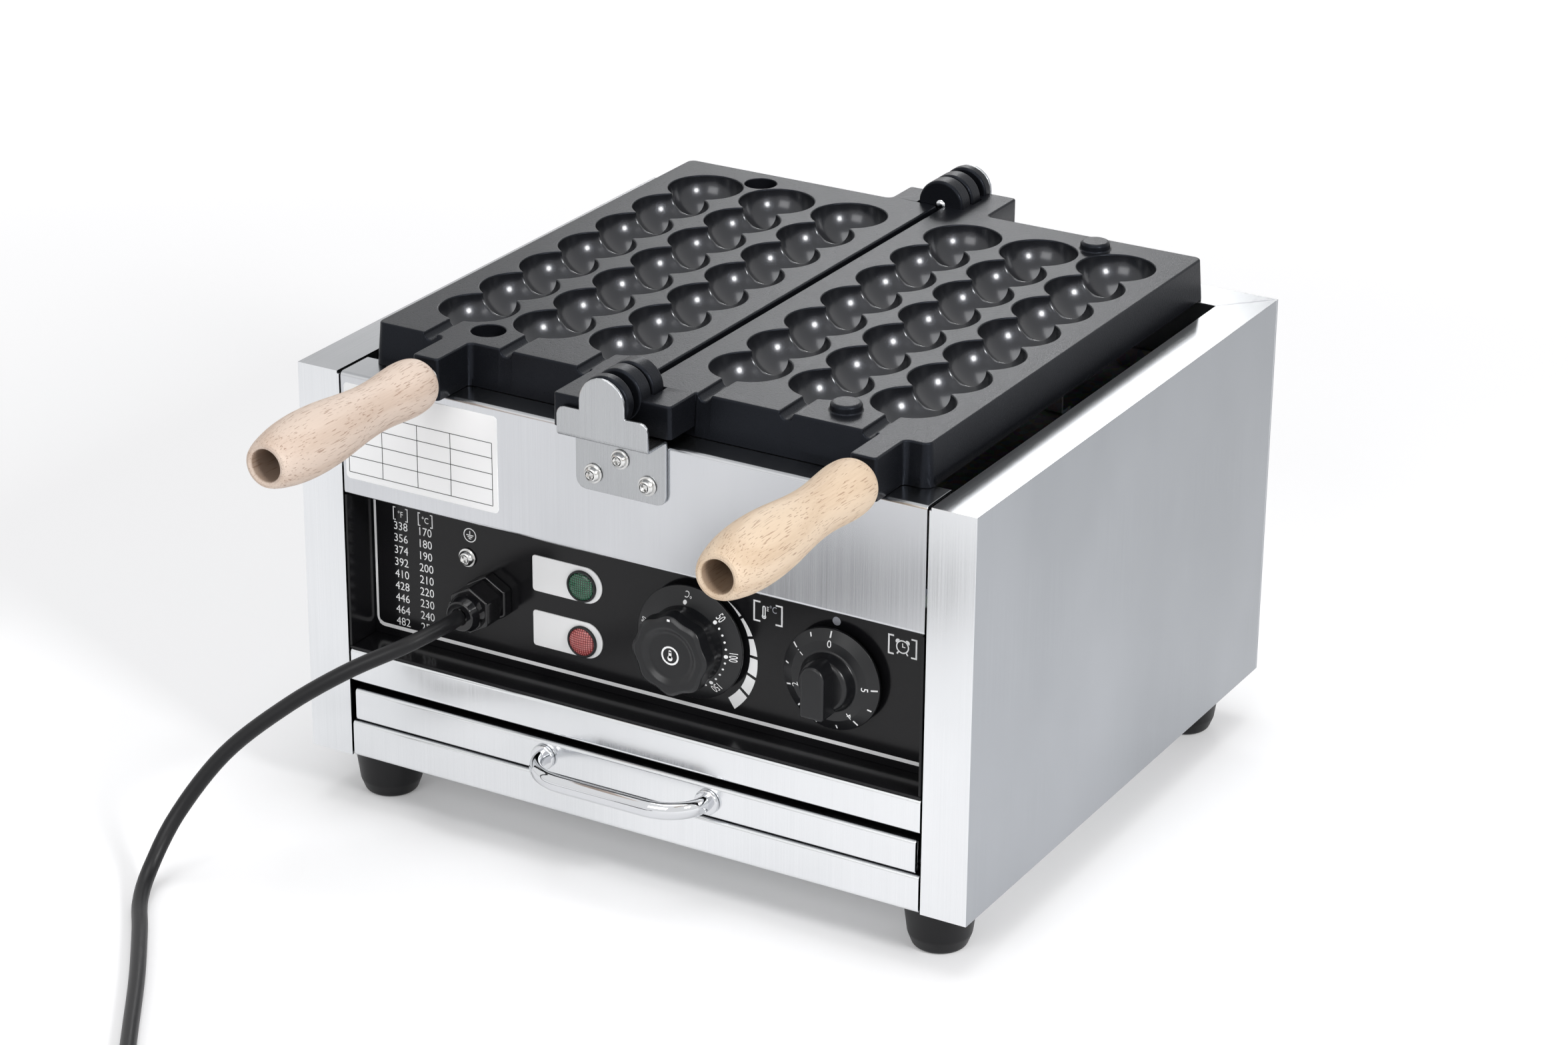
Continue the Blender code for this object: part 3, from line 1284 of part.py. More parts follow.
def drawer_tray():
    """An open tray behind the drawer's face."""
    half = FRONT_EDGE - RUNNER_EDGE_GAP - DRAWER_SIDE_GAP
    front = DRAWER_CHANNEL + GAP
    bottom = DRAWER_BOTTOM + GAP
    top = DRAWER_TOP - DRAWER_RIM_DROP
    y = (front, HOUSING_DEPTH - DRAWER_BACK_ROOM)
    tray = box((-half, half), y, (bottom, top))
    inside = half - TRAY_SHEET
    hollow = box(
        (-inside, inside), (y[0] + TRAY_SHEET, y[1] - TRAY_SHEET), (bottom + TRAY_SHEET, top + OVERRUN)
    )
    return cut(tray, hollow)


def drawer_face():
    """The face between the two rails, a shallow channel that the tray closes at the back."""
    half = FRONT_EDGE - RUNNER_EDGE_GAP + DRAWER_RIM_DROP
    path = [
        (DRAWER_CHANNEL, DRAWER_TOP),
        (0, DRAWER_TOP),
        (0, DRAWER_BOTTOM),
        (DRAWER_CHANNEL, DRAWER_BOTTOM),
    ]
    return folded_sheet(path, SHEET, (-half, half))


def drawer_pull():
    """A bow of flattened rod on two round feet."""
    start = -GAP
    bar = -PULL_STANDOFF
    span = PULL_HALF_SPAN - PULL_STRAIGHT_HALF
    foot_end = start - PULL_FOOT
    rise = foot_end - bar
    half = [(PULL_HALF_SPAN, start - PULL_FOOT / 2, 0)]
    for step in range(PULL_CURVE_STEPS + 1):
        turn = math.pi / 2 * step / PULL_CURVE_STEPS
        x = PULL_STRAIGHT_HALF + span * math.cos(turn)
        half.append((x, foot_end - rise * math.sin(turn), 0))
    points = half + [(-x, y, z) for x, y, z in reversed(half)]
    pull = tube(points, PULL_THICKNESS / 2, 3)
    moved(pull, Matrix.Scale(PULL_HEIGHT / PULL_THICKNESS, 4, (0, 0, 1)))
    moved(pull, Matrix.Translation((0, 0, DRAWER_MIDDLE)))
    for x in (-PULL_HALF_SPAN, PULL_HALF_SPAN):
        join(pull, cylinder(PULL_FOOT_RADIUS, (start - PULL_FOOT, start), x, DRAWER_MIDDLE, 16))
    return pull


def make_drawer():
    runner = drawer_runner()
    finish(mirrored(runner), "drawer_runner_left", "galvanised")
    finish(runner, "drawer_runner_right", "galvanised")
    finish(drawer_tray(), "drawer_tray", "stainless", "drawer")
    finish(drawer_face(), "drawer_face", "stainless", "drawer")
    finish(drawer_pull(), "drawer_pull", "chrome", "drawer")


# Mains cord


def smooth_route(route, spacing):
    """Points at an even spacing on one Catmull-Rom curve through the route."""
    knots = [Vector(point) for point in route]
    knots = [knots[0] * 2 - knots[1]] + knots + [knots[-1] * 2 - knots[-2]]
    fine = []
    for a, b, c, d in zip(knots, knots[1:], knots[2:], knots[3:]):
        for step in range(20):
            t = step / 20
            near = b * 2 + (c - a) * t
            far = (a * 2 - b * 5 + c * 4 - d) * t**2 + (b * 3 - a - c * 3 + d) * t**3
            fine.append((near + far) / 2)
    fine.append(knots[-2])
    reach = [0]
    for a, b in zip(fine, fine[1:]):
        reach.append(reach[-1] + (b - a).length)
    count = round(reach[-1] / spacing)
    points = []
    at = 0
    for step in range(count + 1):
        goal = reach[-1] * step / count
        while at < len(reach) - 2 and reach[at + 1] < goal:
            at += 1
        share = (goal - reach[at]) / (reach[at + 1] - reach[at])
        points.append(fine[at].lerp(fine[at + 1], share))
    return points


def coil_frame():
    """Where the coil begins, its heading and the side on which its centre lies."""
    heading = Vector((*COIL_HEADING, 0)).normalized()
    inward = Vector((heading.y, -heading.x, 0))
    start = Vector(CORD_ROUTE[-1]) + heading * GAP
    start.z = FLOOR_Z + COIL_LIFT + CORD_DIAMETER / 2
    return start, heading, inward


def coil_points():
    """Two layers of turns: the lower one winds in, the upper one out again, with a climb between them."""
    start, heading, inward = coil_frame()
    outer = COIL_RADIUS + COIL_PITCH * COIL_TURNS / 4
    begin = start + heading * COIL_LEAD
    centre = begin + inward * outer
    points = [start]
    last = COIL_TURNS * COIL_STEPS
    for step in range(last + 1):
        turns = step / COIL_STEPS
        from_middle = abs(turns - COIL_TURNS / 2)
        radius = outer - COIL_PITCH * (COIL_TURNS / 2 - from_middle)
        climb = min(max((turns - COIL_TURNS / 2) * 2 + 0.5, 0), 1)
        height = COIL_PITCH * climb * climb * (3 - 2 * climb)
        turn = math.tau * turns
        spoke = heading * math.sin(turn) - inward * math.cos(turn)
        points.append(centre + spoke * radius + Vector((0, 0, height)))
    points.append(points[-1] + heading * COIL_TAIL)
    return points, centre, outer


def least_gap(points):
    """The least distance between parts of the tube that aren't neighbours along it."""
    fine = []
    for a, b in zip(points, points[1:]):
        fine += [a.lerp(b, step / 4) for step in range(4)]
    apart = COIL_STEPS * 2
    return min(
        (a - b).length - CORD_DIAMETER for i, a in enumerate(fine) for b in fine[i + apart:]
    )


def coil_tie(centre, outer):
    """A flat band round both layers, on the far side of the coil from where the cord comes in."""
    _, _, inward = coil_frame()
    inner = outer - COIL_PITCH * COIL_TURNS / 2
    room = CORD_DIAMETER / 2 + TIE_CLEARANCE
    bottom = FLOOR_Z
    top = centre.z + COIL_PITCH + room
    low, high = inner - room, outer + room
    half = TIE_WIDTH / 2
    band = box((low - TIE_SHEET, high + TIE_SHEET), (-half, half), (bottom, top + TIE_SHEET))
    hollow = box((low, high), (-TIE_WIDTH, TIE_WIDTH), (bottom + TIE_SHEET, top))
    cut(band, hollow)
    turn = math.atan2(inward.y, inward.x)
    place = Matrix.Translation((centre.x, centre.y, 0)) @ Matrix.Rotation(turn, 4, "Z")
    return moved(band, place)


def plug(end):
    """A moulded plug with a tapered relief and three flat pins, lying beside the coil."""
    _, heading, _ = coil_frame()
    wide = PLUG_WIDTH / 2
    profile = [
        (0, 0),
        (0, PLUG_RELIEF_RADIUS),
        (PLUG_RELIEF, PLUG_RELIEF_RADIUS * 3 / 2),
        (PLUG_RELIEF + PLUG_LENGTH / 8, wide * 2 / 3),
        (PLUG_RELIEF + PLUG_LENGTH / 3, wide * 9 / 10),
        (PLUG_RELIEF + PLUG_LENGTH * 3 / 4, wide),
        (PLUG_RELIEF + PLUG_LENGTH, wide * 19 / 20),
        (PLUG_RELIEF + PLUG_LENGTH, 0),
    ]
    body = lathe(profile, (0, 0, 0), (1, 0, 0), PLUG_SIDES)
    moved(body, Matrix.Scale(PLUG_THICKNESS / PLUG_WIDTH, 4, (0, 0, 1)))
    face = PLUG_RELIEF + PLUG_LENGTH
    pin_x = (face - PLUG_PIN_SHEET, face + PLUG_PIN_LENGTH)
    for y, z, lean in (
        (-PLUG_PIN_SPREAD, PLUG_EARTH_DROP / 2, PLUG_PIN_LEAN),
        (PLUG_PIN_SPREAD, PLUG_EARTH_DROP / 2, -PLUG_PIN_LEAN),
        (0, -PLUG_EARTH_DROP, 0),
    ):
        half_width = PLUG_PIN_WIDTH / 2
        half_sheet = PLUG_PIN_SHEET / 2
        pin = box(pin_x, (-half_sheet, half_sheet), (-half_width, half_width))
        moved(pin, Matrix.Translation((0, y, z)) @ Matrix.Rotation(lean, 4, "X"))
        join(body, pin)
    start = end + heading * GAP
    turn = math.atan2(heading.y, heading.x)
    return moved(body, Matrix.Translation(start) @ Matrix.Rotation(turn, 4, "Z"))


def make_cord():
    route = [Vector((GLAND_X, y, GLAND_Z)) for y in CORD_MOUTH_Y]
    route += [Vector(point) for point in CORD_ROUTE]
    cord = cord_curve("cord", smooth_route(route, CORD_SPACING), CORD_DIAMETER / 2, 2)
    finish(cord, "cord", "black_rubber")
    points, centre, outer = coil_points()
    print(f"cord coil: least gap to itself {least_gap(points) * 1000:.2f} mm")
    finish(cord_curve("cord_coil", points, CORD_DIAMETER / 2, 1), "cord_coil", "black_rubber")
    finish(coil_tie(centre, outer), "coil_tie", "black_plastic")
    finish(plug(points[-1]), "plug", "black_plastic")


clear_scene()
BODIES = make_bodies()
make_housing()
make_recess()
make_controls()
make_panel_fittings()
make_hinges()
make_plates()
make_heating()
make_drawer()
make_cord()
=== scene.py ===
import json
import math
from contextlib import contextmanager

import bmesh
import bpy
import numpy as np
from mathutils import Matrix, Vector, geometry


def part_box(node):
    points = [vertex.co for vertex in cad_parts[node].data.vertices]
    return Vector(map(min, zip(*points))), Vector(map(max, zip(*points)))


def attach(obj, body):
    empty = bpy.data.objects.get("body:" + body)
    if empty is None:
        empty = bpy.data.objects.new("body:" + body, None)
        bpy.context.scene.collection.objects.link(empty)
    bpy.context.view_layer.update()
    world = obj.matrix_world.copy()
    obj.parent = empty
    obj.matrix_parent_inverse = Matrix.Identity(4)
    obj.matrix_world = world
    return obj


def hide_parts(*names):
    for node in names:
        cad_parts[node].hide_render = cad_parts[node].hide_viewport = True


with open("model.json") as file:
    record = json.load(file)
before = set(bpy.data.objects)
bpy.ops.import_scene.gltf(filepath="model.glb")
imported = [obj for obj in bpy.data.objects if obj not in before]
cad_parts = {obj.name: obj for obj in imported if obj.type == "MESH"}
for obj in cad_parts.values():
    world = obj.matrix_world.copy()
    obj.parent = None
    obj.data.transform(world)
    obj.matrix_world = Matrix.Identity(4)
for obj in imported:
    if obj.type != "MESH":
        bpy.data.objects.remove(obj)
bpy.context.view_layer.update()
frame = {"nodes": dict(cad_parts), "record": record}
nodes = frame["nodes"]

# Every place below is in millimetres in the housing's own frame: the front faces lie at y = 0, the
# sides mirror across x = 0 and the bottom is z = 0. toRow turns such places into the row frame.
mm = 0.001
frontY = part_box("front_upper_panel")[0].y
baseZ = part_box("base_plate")[0].z
rowOffset = np.array([0.0, frontY, baseZ])


def toRow(points):
    return np.asarray(points, float) * mm + rowOffset


def boxOf(node):
    # The low and high corner of a CAD node, in the housing's frame
    low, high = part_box(node)
    return [(np.array(corner) - rowOffset) / mm for corner in (low, high)]


# Shader maths

class Socket:
    # One value in a material. Python's operators on it add Math nodes.
    def __init__(self, graph, source):
        self.graph, self.source = graph, source

    def maths(self, operation, *values):
        return self.graph.add("ShaderNodeMath", dict(enumerate(values)), operation=operation)

    def __add__(self, other):
        return self.maths("ADD", self, other)

    def __sub__(self, other):
        return self.maths("SUBTRACT", self, other)

    def __rsub__(self, other):
        return self.maths("SUBTRACT", other, self)

    def __mul__(self, other):
        return self.maths("MULTIPLY", self, other)

    def __truediv__(self, other):
        return self.maths("DIVIDE", self, other)

    def __abs__(self):
        return self.maths("ABSOLUTE", self)

    __radd__ = __add__
    __rmul__ = __mul__

    def sine(self):
        return self.maths("SINE", self)

    def atLeast(self, other):
        return self.maths("MAXIMUM", self, other)

    def smooth(self, low, high):
        # 0 below low and 1 above high, with a soft step between them
        values = {"Value": self, "From Min": low, "From Max": high}
        return self.graph.add("ShaderNodeMapRange", values, interpolation_type="SMOOTHSTEP")


class Graph:
    # The node tree of one material or of the world
    def __init__(self, owner):
        owner.use_nodes = True
        self.owner, self.tree = owner, owner.node_tree
        self.tree.nodes.clear()

    def add(self, kind, values=None, output=0, **settings):
        # A node with its settings set first, then its sockets' values or links. Returns one output.
        node = self.tree.nodes.new(kind)
        for name, setting in settings.items():
            setattr(node, name, setting)
        for name, value in (values or {}).items():
            socket = node.inputs[name]
            if isinstance(value, Socket):
                self.tree.links.new(value.source, socket)
            else:
                socket.default_value = (*value, 1) if socket.type == "RGBA" else value
        return Socket(self, node.outputs[output]) if node.outputs else None

    def place(self, scale=(1, 1, 1)):
        # Object coordinates in metres, each multiplied by its scale
        here = self.add("ShaderNodeTexCoord", output="Object")
        return self.add("ShaderNodeVectorMath", {0: here, 1: scale}, operation="MULTIPLY")

    def axes(self, vector, which):
        return [self.add("ShaderNodeSeparateXYZ", {"Vector": vector}, axis) for axis in which]

    def noise(self, *cells, detail=2.0, roughness=0.5):
        # Noise from 0 to 1, with one number of cells per metre or one for each direction
        scale = cells if len(cells) == 3 else cells * 3
        values = {"Vector": self.place(scale), "Scale": 1.0, "Detail": detail, "Roughness": roughness}
        return self.add("ShaderNodeTexNoise", values, noise_dimensions="3D")

    def mix(self, factor, a, b):
        # The Mix node's factor, its two colours and its blended colour, which come at these places
        return self.add("ShaderNodeMix", {0: factor, 6: a, 7: b}, 2, data_type="RGBA")

    def bump(self, height, depth):
        return self.add("ShaderNodeBump", {"Height": height, "Distance": depth * mm, "Strength": 1.0})

    def surface(self, **values):
        # The Principled shader, with spaces in its sockets' names written as underscores
        values = {name.replace("_", " "): value for name, value in values.items()}
        self.add("ShaderNodeOutputMaterial", {"Surface": self.add("ShaderNodeBsdfPrincipled", values)})
        return self.owner


def newGraph(name):
    return Graph(bpy.data.materials.new(name))


# Camera and studio

camera = {
    "place": (0.92085, -1.55782, 0.92838), "yaw": 29.9006, "pitch": 23.3249, "roll": 0.5027,
    "lens": 94.877, "sensor": 36.0, "clipEnd": 20.0,
}


def addObject(name, data):
    obj = bpy.data.objects.new(name, data)
    bpy.context.scene.collection.objects.link(obj)
    return obj


def makeCamera():
    # Turned by yaw about z, tipped down by pitch, then rolled about the way it looks
    yaw, pitch, roll = (math.radians(camera[turn]) for turn in ("yaw", "pitch", "roll"))
    ahead = math.cos(pitch)
    forward = Vector((-math.sin(yaw) * ahead, math.cos(yaw) * ahead, -math.sin(pitch)))
    level = Vector((math.cos(yaw), math.sin(yaw), 0))
    above = level.cross(forward)
    right = math.cos(roll) * level + math.sin(roll) * above
    up = math.cos(roll) * above - math.sin(roll) * level
    data = bpy.data.cameras.new("camera")
    data.lens, data.sensor_width, data.clip_end = camera["lens"], camera["sensor"], camera["clipEnd"]
    obj = addObject("camera", data)
    turned = Matrix((right, up, -forward)).transposed().to_4x4()
    obj.matrix_world = Matrix.Translation(camera["place"]) @ turned
    bpy.context.scene.camera = obj


studio = {
    "floorSize": 24.0, "floorColour": (0.86, 0.86, 0.87), "worldLight": 0.38,
    "floorLift": 0.16,  # added where the floor is seen, directly or in metal, so that it runs out to white
    "farLift": (0.7, 2.6, 0.9),  # from and to these distances, this much more where the camera sees it
    "lamps": {  # name: place, aim, width, height, watts
        "right": ((1.45, -0.63, 1.07), (0, 0, 0.2), 0.34, 0.34, 17),
        "back": ((-0.83, 1.80, 1.12), (0.05, -0.05, 0.22), 0.55, 0.30, 4.5),
        "front": ((0.1, -2.4, 1.5), (0, 0, 0.12), 1.6, 1.0, 19),
        "overhead": ((0.1, 0.1, 4.4), (0, 0, 0.15), 2.6, 2.6, 66),
    },
}


def rays(graph, way):
    return graph.add("ShaderNodeLightPath", output=f"Is {way} Ray")


def seenRays(graph):
    # 1 for what the camera sees itself or in metal or glass, and 0 for light that falls on a matte surface
    return rays(graph, "Camera").atLeast(rays(graph, "Glossy")).atLeast(rays(graph, "Transmission"))


def makeWorld():
    world = bpy.data.worlds.new("studio")
    bpy.context.scene.world = world
    graph = Graph(world)
    strength = seenRays(graph) * (1 - studio["worldLight"]) + studio["worldLight"]
    light = graph.add("ShaderNodeBackground", {"Color": (1.0, 1.0, 1.0), "Strength": strength})
    graph.add("ShaderNodeOutputWorld", {"Surface": light})


def makeFloor():
    half = studio["floorSize"] / 2
    corners = [(-half, -half, 0), (half, -half, 0), (half, half, 0), (-half, half, 0)]
    mesh = bpy.data.meshes.new("floor")
    mesh.from_pydata(corners, [], [(0, 1, 2, 3)])
    graph = newGraph("floor")
    matte = graph.add("ShaderNodeBsdfDiffuse", {"Color": studio["floorColour"]})
    low, high, most = studio["farLift"]
    away = graph.add("ShaderNodeVectorMath", {0: graph.place()}, "Value", operation="LENGTH")
    far = rays(graph, "Camera") * away.smooth(low, high) * most
    lift = graph.add("ShaderNodeEmission", {"Strength": seenRays(graph) * studio["floorLift"] + far})
    both = graph.add("ShaderNodeAddShader", {0: matte, 1: lift})
    graph.add("ShaderNodeOutputMaterial", {"Surface": both})
    mesh.materials.append(graph.owner)
    floor = addObject("floor", mesh)


def makeLamps():
    for name, (place, aim, width, height, power) in studio["lamps"].items():
        data = bpy.data.lights.new(name, "AREA")
        data.shape = "RECTANGLE"
        data.size, data.size_y, data.energy = width, height, power
        lamp = addObject(name, data)
        lamp.location = place
        lamp.rotation_euler = (Vector(aim) - Vector(place)).to_track_quat("-Z", "Y").to_euler()


bpy.context.scene.view_settings.view_transform = "Standard"
makeCamera()
makeWorld()
makeFloor()
makeLamps()
print("camera and studio")

# Making meshes

meshing = {
    "weld": 0.003, "sharp": 35, "normalWeight": 80,
    "cadWeld": 0.001, "cadFlat": 0.6, "cadSharp": 40, "edgeSegments": 3,
}


class Surface:
    # Sheets of grid points and flat caps, in the housing's frame, which become one welded mesh
    def __init__(self):
        self.points, self.faces, self.count = [], [], 0

    def polygons(self, points, faces):
        self.faces += [[corner + self.count for corner in face] for face in faces]
        self.points.append(np.asarray(points, float))
        self.count += len(points)
        return self

    def grid(self, points, roundRows=False, roundColumns=False):
        # Quads between neighbouring rows and columns of points, closed on itself where it is round
        points = np.asarray(points, float)
        rows, columns = points.shape[:2]
        index = np.arange(rows * columns).reshape(rows, columns)
        if roundRows:
            index = np.vstack([index, index[:1]])
        if roundColumns:
            index = np.hstack([index, index[:, :1]])
        quads = np.stack([index[:-1, :-1], index[1:, :-1], index[1:, 1:], index[:-1, 1:]], -1)
        return self.polygons(points.reshape(-1, 3), quads.reshape(-1, 4).tolist())

    def turned(self, *shape, **options):
        return self.grid(turnedSheet(*shape, **options), roundColumns=True)

    def cap(self, loops, along=(0, 1)):
        # A flat face over closed loops of points, the inner ones left open. along names its two axes.
        points = np.vstack(loops)
        flat = [Vector(point) for point in points[:, list(along)].tolist()]
        ends = np.cumsum([len(loop) for loop in loops]).tolist()
        rings = [list(range(start, end)) for start, end in zip([0, *ends], ends)]
        _, _, faces, sources, _, _ = geometry.delaunay_2d_cdt(flat, [], rings, 2, 1e-5)
        return self.polygons(points[[source[0] for source in sources]], faces)

    def block(self, rings):
        # Walls from ring to ring, with upright caps over the first and the last
        return self.grid(np.stack(rings), roundColumns=True).cap([rings[0]], (0, 2)).cap([rings[-1]], (0, 2))


@contextmanager
def editing(mesh):
    bm = bmesh.new()
    bm.from_mesh(mesh)
    yield bm
    bm.to_mesh(mesh)
    bm.free()


def flatten(obj):
    # Normals that follow the larger faces, so that flats stay flat beside their small roundings
    normals = obj.modifiers.new("normals", "WEIGHTED_NORMAL")
    normals.keep_sharp = True
    normals.weight = meshing["normalWeight"]


def dress(name, mesh, body, slotName, replaced=(), material=None, sharp=meshing["sharp"]):
    # An object with its finish, body and replaced nodes. The finish is the slot's own by default.
    mesh.shade_smooth()
    mesh.set_sharp_from_angle(angle=math.radians(sharp))
    mesh.materials.clear()
    mesh.materials.append(finishes[material or slotName])
    obj = addObject(name, mesh)
    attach(obj, body)
    if replaced:
        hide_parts(*replaced)
    return obj


def makePiece(name, surface, body, slotName, replaced=(), material=None, sharp=meshing["sharp"], closed=True):
    mesh = bpy.data.meshes.new(name)
    mesh.from_pydata(toRow(np.vstack(surface.points)), [], surface.faces)
    with editing(mesh) as bm:
        bmesh.ops.remove_doubles(bm, verts=bm.verts, dist=meshing["weld"] * mm)
        if closed:
            bmesh.ops.recalc_face_normals(bm, faces=bm.faces)
    obj = dress(name, mesh, body, slotName, replaced, material, sharp)
    flatten(obj)
    return obj


def finished(node, surface, material=None, sharp=meshing["sharp"]):
    # The piece that takes the place of a CAD node, with its body and, by default, its slot's finish
    return makePiece(node + "_finished", surface, bodyOf[node], slotOf[node], [node], material, sharp)


def softened(node, width, material=None):
    # A merged copy of a CAD node with every sharp edge rounded by width
    m = meshing
    mesh = nodes[node].data.copy()
    with editing(mesh) as bm:
        bmesh.ops.remove_doubles(bm, verts=bm.verts, dist=m["cadWeld"] * mm)
        bmesh.ops.dissolve_limit(bm, angle_limit=math.radians(m["cadFlat"]), use_dissolve_boundaries=False,
                                 verts=bm.verts, edges=bm.edges)
    obj = dress(node + "_finished", mesh, bodyOf[node], slotOf[node], [node], material, m["cadSharp"])
    bevel = obj.modifiers.new("edges", "BEVEL")
    bevel.width, bevel.segments = width * mm, m["edgeSegments"]
    bevel.limit_method, bevel.angle_limit = "ANGLE", math.radians(m["cadSharp"])
    bevel.use_clamp_overlap = True
    bevel.miter_outer = "MITER_ARC"
    flatten(obj)


def turnedSheet(profile, centre, axis=(0, -1, 0), start=(0, 0, 1), steps=64, lobes=None):
    # A profile of (along, radius) carried round an axis: centre + axis * along + spoke(turn) * radius
    profile = np.asarray(profile, float)
    axis, start = np.asarray(axis, float), np.asarray(start, float)
    turn = np.linspace(0, math.tau, steps, endpoint=False)
    spoke = np.cos(turn)[:, None] * start + np.sin(turn)[:, None] * np.cross(axis, start)
    reach = np.ones((len(profile), steps)) if lobes is None else lobes(profile, turn)
    radius = (profile[:, 1:2] * reach)[..., None]
    return np.asarray(centre) + profile[:, :1, None] * axis + radius * spoke[None]


def directions(corners, k):
    # A path's corner and the unit steps that lead to it and away from it
    here = np.array(corners[k][:2], float)
    before = here - np.array(corners[k - 1][:2])
    after = np.array(corners[(k + 1) % len(corners)][:2]) - here
    return here, before / np.linalg.norm(before), after / np.linalg.norm(after)


def rounded(corners, steps=4, closed=False):
    # A profile's corners (along, radius, rounding) with each rounding worked out as an arc
    corners = [tuple(corner) + (0,) * (3 - len(corner)) for corner in corners]
    out = []
    for k, (x, y, radius) in enumerate(corners):
        if radius <= 0:
            out.append([(x, y)])
            continue
        here, before, after = directions(corners, k)
        half = math.acos(np.clip(-before @ after, -1, 1)) / 2
        middle = (after - before) / np.linalg.norm(after - before)
        centre = here + middle * radius / math.sin(half)
        first = here - before * radius / math.tan(half) - centre
        last = here + after * radius / math.tan(half) - centre
        swing = math.acos(np.clip(first @ last / radius**2, -1, 1))
        t = np.linspace(0, 1, steps + 1)[:, None]
        out.append(centre + (np.sin((1 - t) * swing) * first + np.sin(t * swing) * last) / math.sin(swing))
    return np.vstack([*out, out[0][:1]] if closed else out)


def outline(corners, steps=6):
    # Stations (x, y, normal x, normal y) of a closed path with rounded corners, anticlockwise
    points, normals = [], []
    t = np.linspace(0, math.pi / 2, steps + 1)[:, None]
    for k, (_, _, radius) in enumerate(corners):
        here, before, after = directions(corners, k)
        side = np.sign(before[0] * after[1] - before[1] * after[0])  # 1 at a corner that stands out
        first = np.array([before[1], -before[0]])
        last = np.array([after[1], -after[0]])
        normal = np.cos(t) * first + np.sin(t) * last
        points.append(here + side * radius * (normal - first - last))
        normals.append(normal)
    return np.hstack([np.vstack(points), np.vstack(normals)])


def smoothPath(points, steps, spacing=None, count=None):
    # A Catmull-Rom curve through the points, then places along it at one even spacing
    knots = np.array(points, float)
    knots = np.vstack([2 * knots[0] - knots[1], knots, 2 * knots[-1] - knots[-2]])
    t = np.linspace(0, 1, steps, endpoint=False)[:, None]
    parts = [(2 * b + (c - a) * t + (2 * a - 5 * b + 4 * c - d) * t**2 + (3 * b - a - 3 * c + d) * t**3) / 2
             for a, b, c, d in zip(knots, knots[1:], knots[2:], knots[3:])]
    fine = np.vstack(parts + [knots[-2:-1]])
    reach = np.concatenate([[0], np.cumsum(np.linalg.norm(np.diff(fine, axis=0), axis=1))])
    goals = np.linspace(0, reach[-1], count or round(reach[-1] / spacing) + 1)
    return np.stack([np.interp(goals, reach, fine[:, k]) for k in range(fine.shape[1])], 1)


# Finishes, one for each of the record's material slots and some for single pieces. Every size of a
# noise is in cells per metre and every depth in millimetres.

steel = {
    "front": ((0.66, 0.675, 0.69), (0.82, 0.83, 0.845)),
    # The upper panel's tones are a darker copy of the front ones: painted shade
    "shadedUpperPanel": ((0.53, 0.54, 0.56), (0.68, 0.69, 0.71)),
    "bracket": ((0.38, 0.39, 0.40), (0.52, 0.53, 0.545)),
    # Side and level tones are darker than the front ones: painted shade by which way a face turns
    "side": ((0.29, 0.305, 0.325), (0.39, 0.405, 0.43)),
    "level": ((0.34, 0.35, 0.365), (0.45, 0.46, 0.475)),
    "heated": ((0.17, 0.16, 0.15), (0.24, 0.23, 0.21)),
    "roughness": 0.21, "lines": 3200, "along": 10, "lineDepth": 0.0022, "smear": (9, 9, 6),
    "shadeTurning": (0.55, 0.85),  # where a normal's part makes a face count as a side or a level one
}


def makeSteel(name, front, side=steel["side"], level=steel["level"], roughness=steel["roughness"],
              depth=steel["lineDepth"]):
    # Fine brushing, along z on upright faces and along y on level ones, under broad soft smears. Each
    # way that the sheet faces has its own pair of tones, those of side and level faces darker: painted shade
    # by facing.
    graph = newGraph(name)
    facing = graph.add("ShaderNodeTexCoord", output="Normal")
    x, z = (abs(part).smooth(*steel["shadeTurning"]) for part in graph.axes(facing, "XZ"))
    fine, along = steel["lines"], steel["along"]
    upright = graph.noise(fine, fine, along, roughness=0.6)
    lying = graph.noise(fine, along, fine, roughness=0.6)
    brushing = upright + z * (lying - upright)
    smear = graph.noise(*steel["smear"], detail=3.0)
    tone = (smear + 0.45 * (brushing - 0.5)).smooth(0.05, 0.95)
    # Painted shade: faces turned along x take the dark side tones and level faces the darker level tones
    dark, bright = (graph.mix(x, graph.mix(z, front[k], level[k]), side[k]) for k in (0, 1))
    return graph.surface(Base_Color=graph.mix(tone, dark, bright), Metallic=1.0,
                         Roughness=roughness + 0.12 * (brushing - 0.5) + 0.05 * (smear - 0.5),
                         Normal=graph.bump(brushing, depth))


galvanised = {"spangle": 260.0, "share": 0.16, "grain": 60,
              "dark": (0.47, 0.48, 0.50), "pale": (0.60, 0.61, 0.62)}


def makeGalvanised():
    graph = newGraph("galvanised")
    values = {"Vector": graph.place(), "Scale": galvanised["spangle"]}
    cells = graph.add("ShaderNodeTexVoronoi", values, "Color", feature="F1")
    grain = graph.noise(galvanised["grain"], detail=3.0)
    tone = graph.mix(grain, galvanised["dark"], galvanised["pale"])
    return graph.surface(Base_Color=graph.mix(galvanised["share"], tone, cells), Metallic=1.0,
                         Roughness=0.36 + 0.14 * grain)


def makePolished(name, colour, roughness):
    graph = newGraph(name)
    return graph.surface(Base_Color=colour, Metallic=1.0,
                         Roughness=roughness + 0.05 * graph.noise(220, detail=4.0))


coating = {
    "dark": (0.0040, 0.0044, 0.0056), "pale": (0.0080, 0.0087, 0.0110), "cloud": 40,
    "sheen": (0.74, 0.82, 1.0), "gloss": 0.16, "roughness": 0.29, "cavityRoughness": 0.19,
    "grain": 1300, "grainDepth": 0.12,
    "rowsFrom": 12.6, "rowsTo": 136.2, "front": 39.0, "rear": 286.0, "top": 220.4,
}


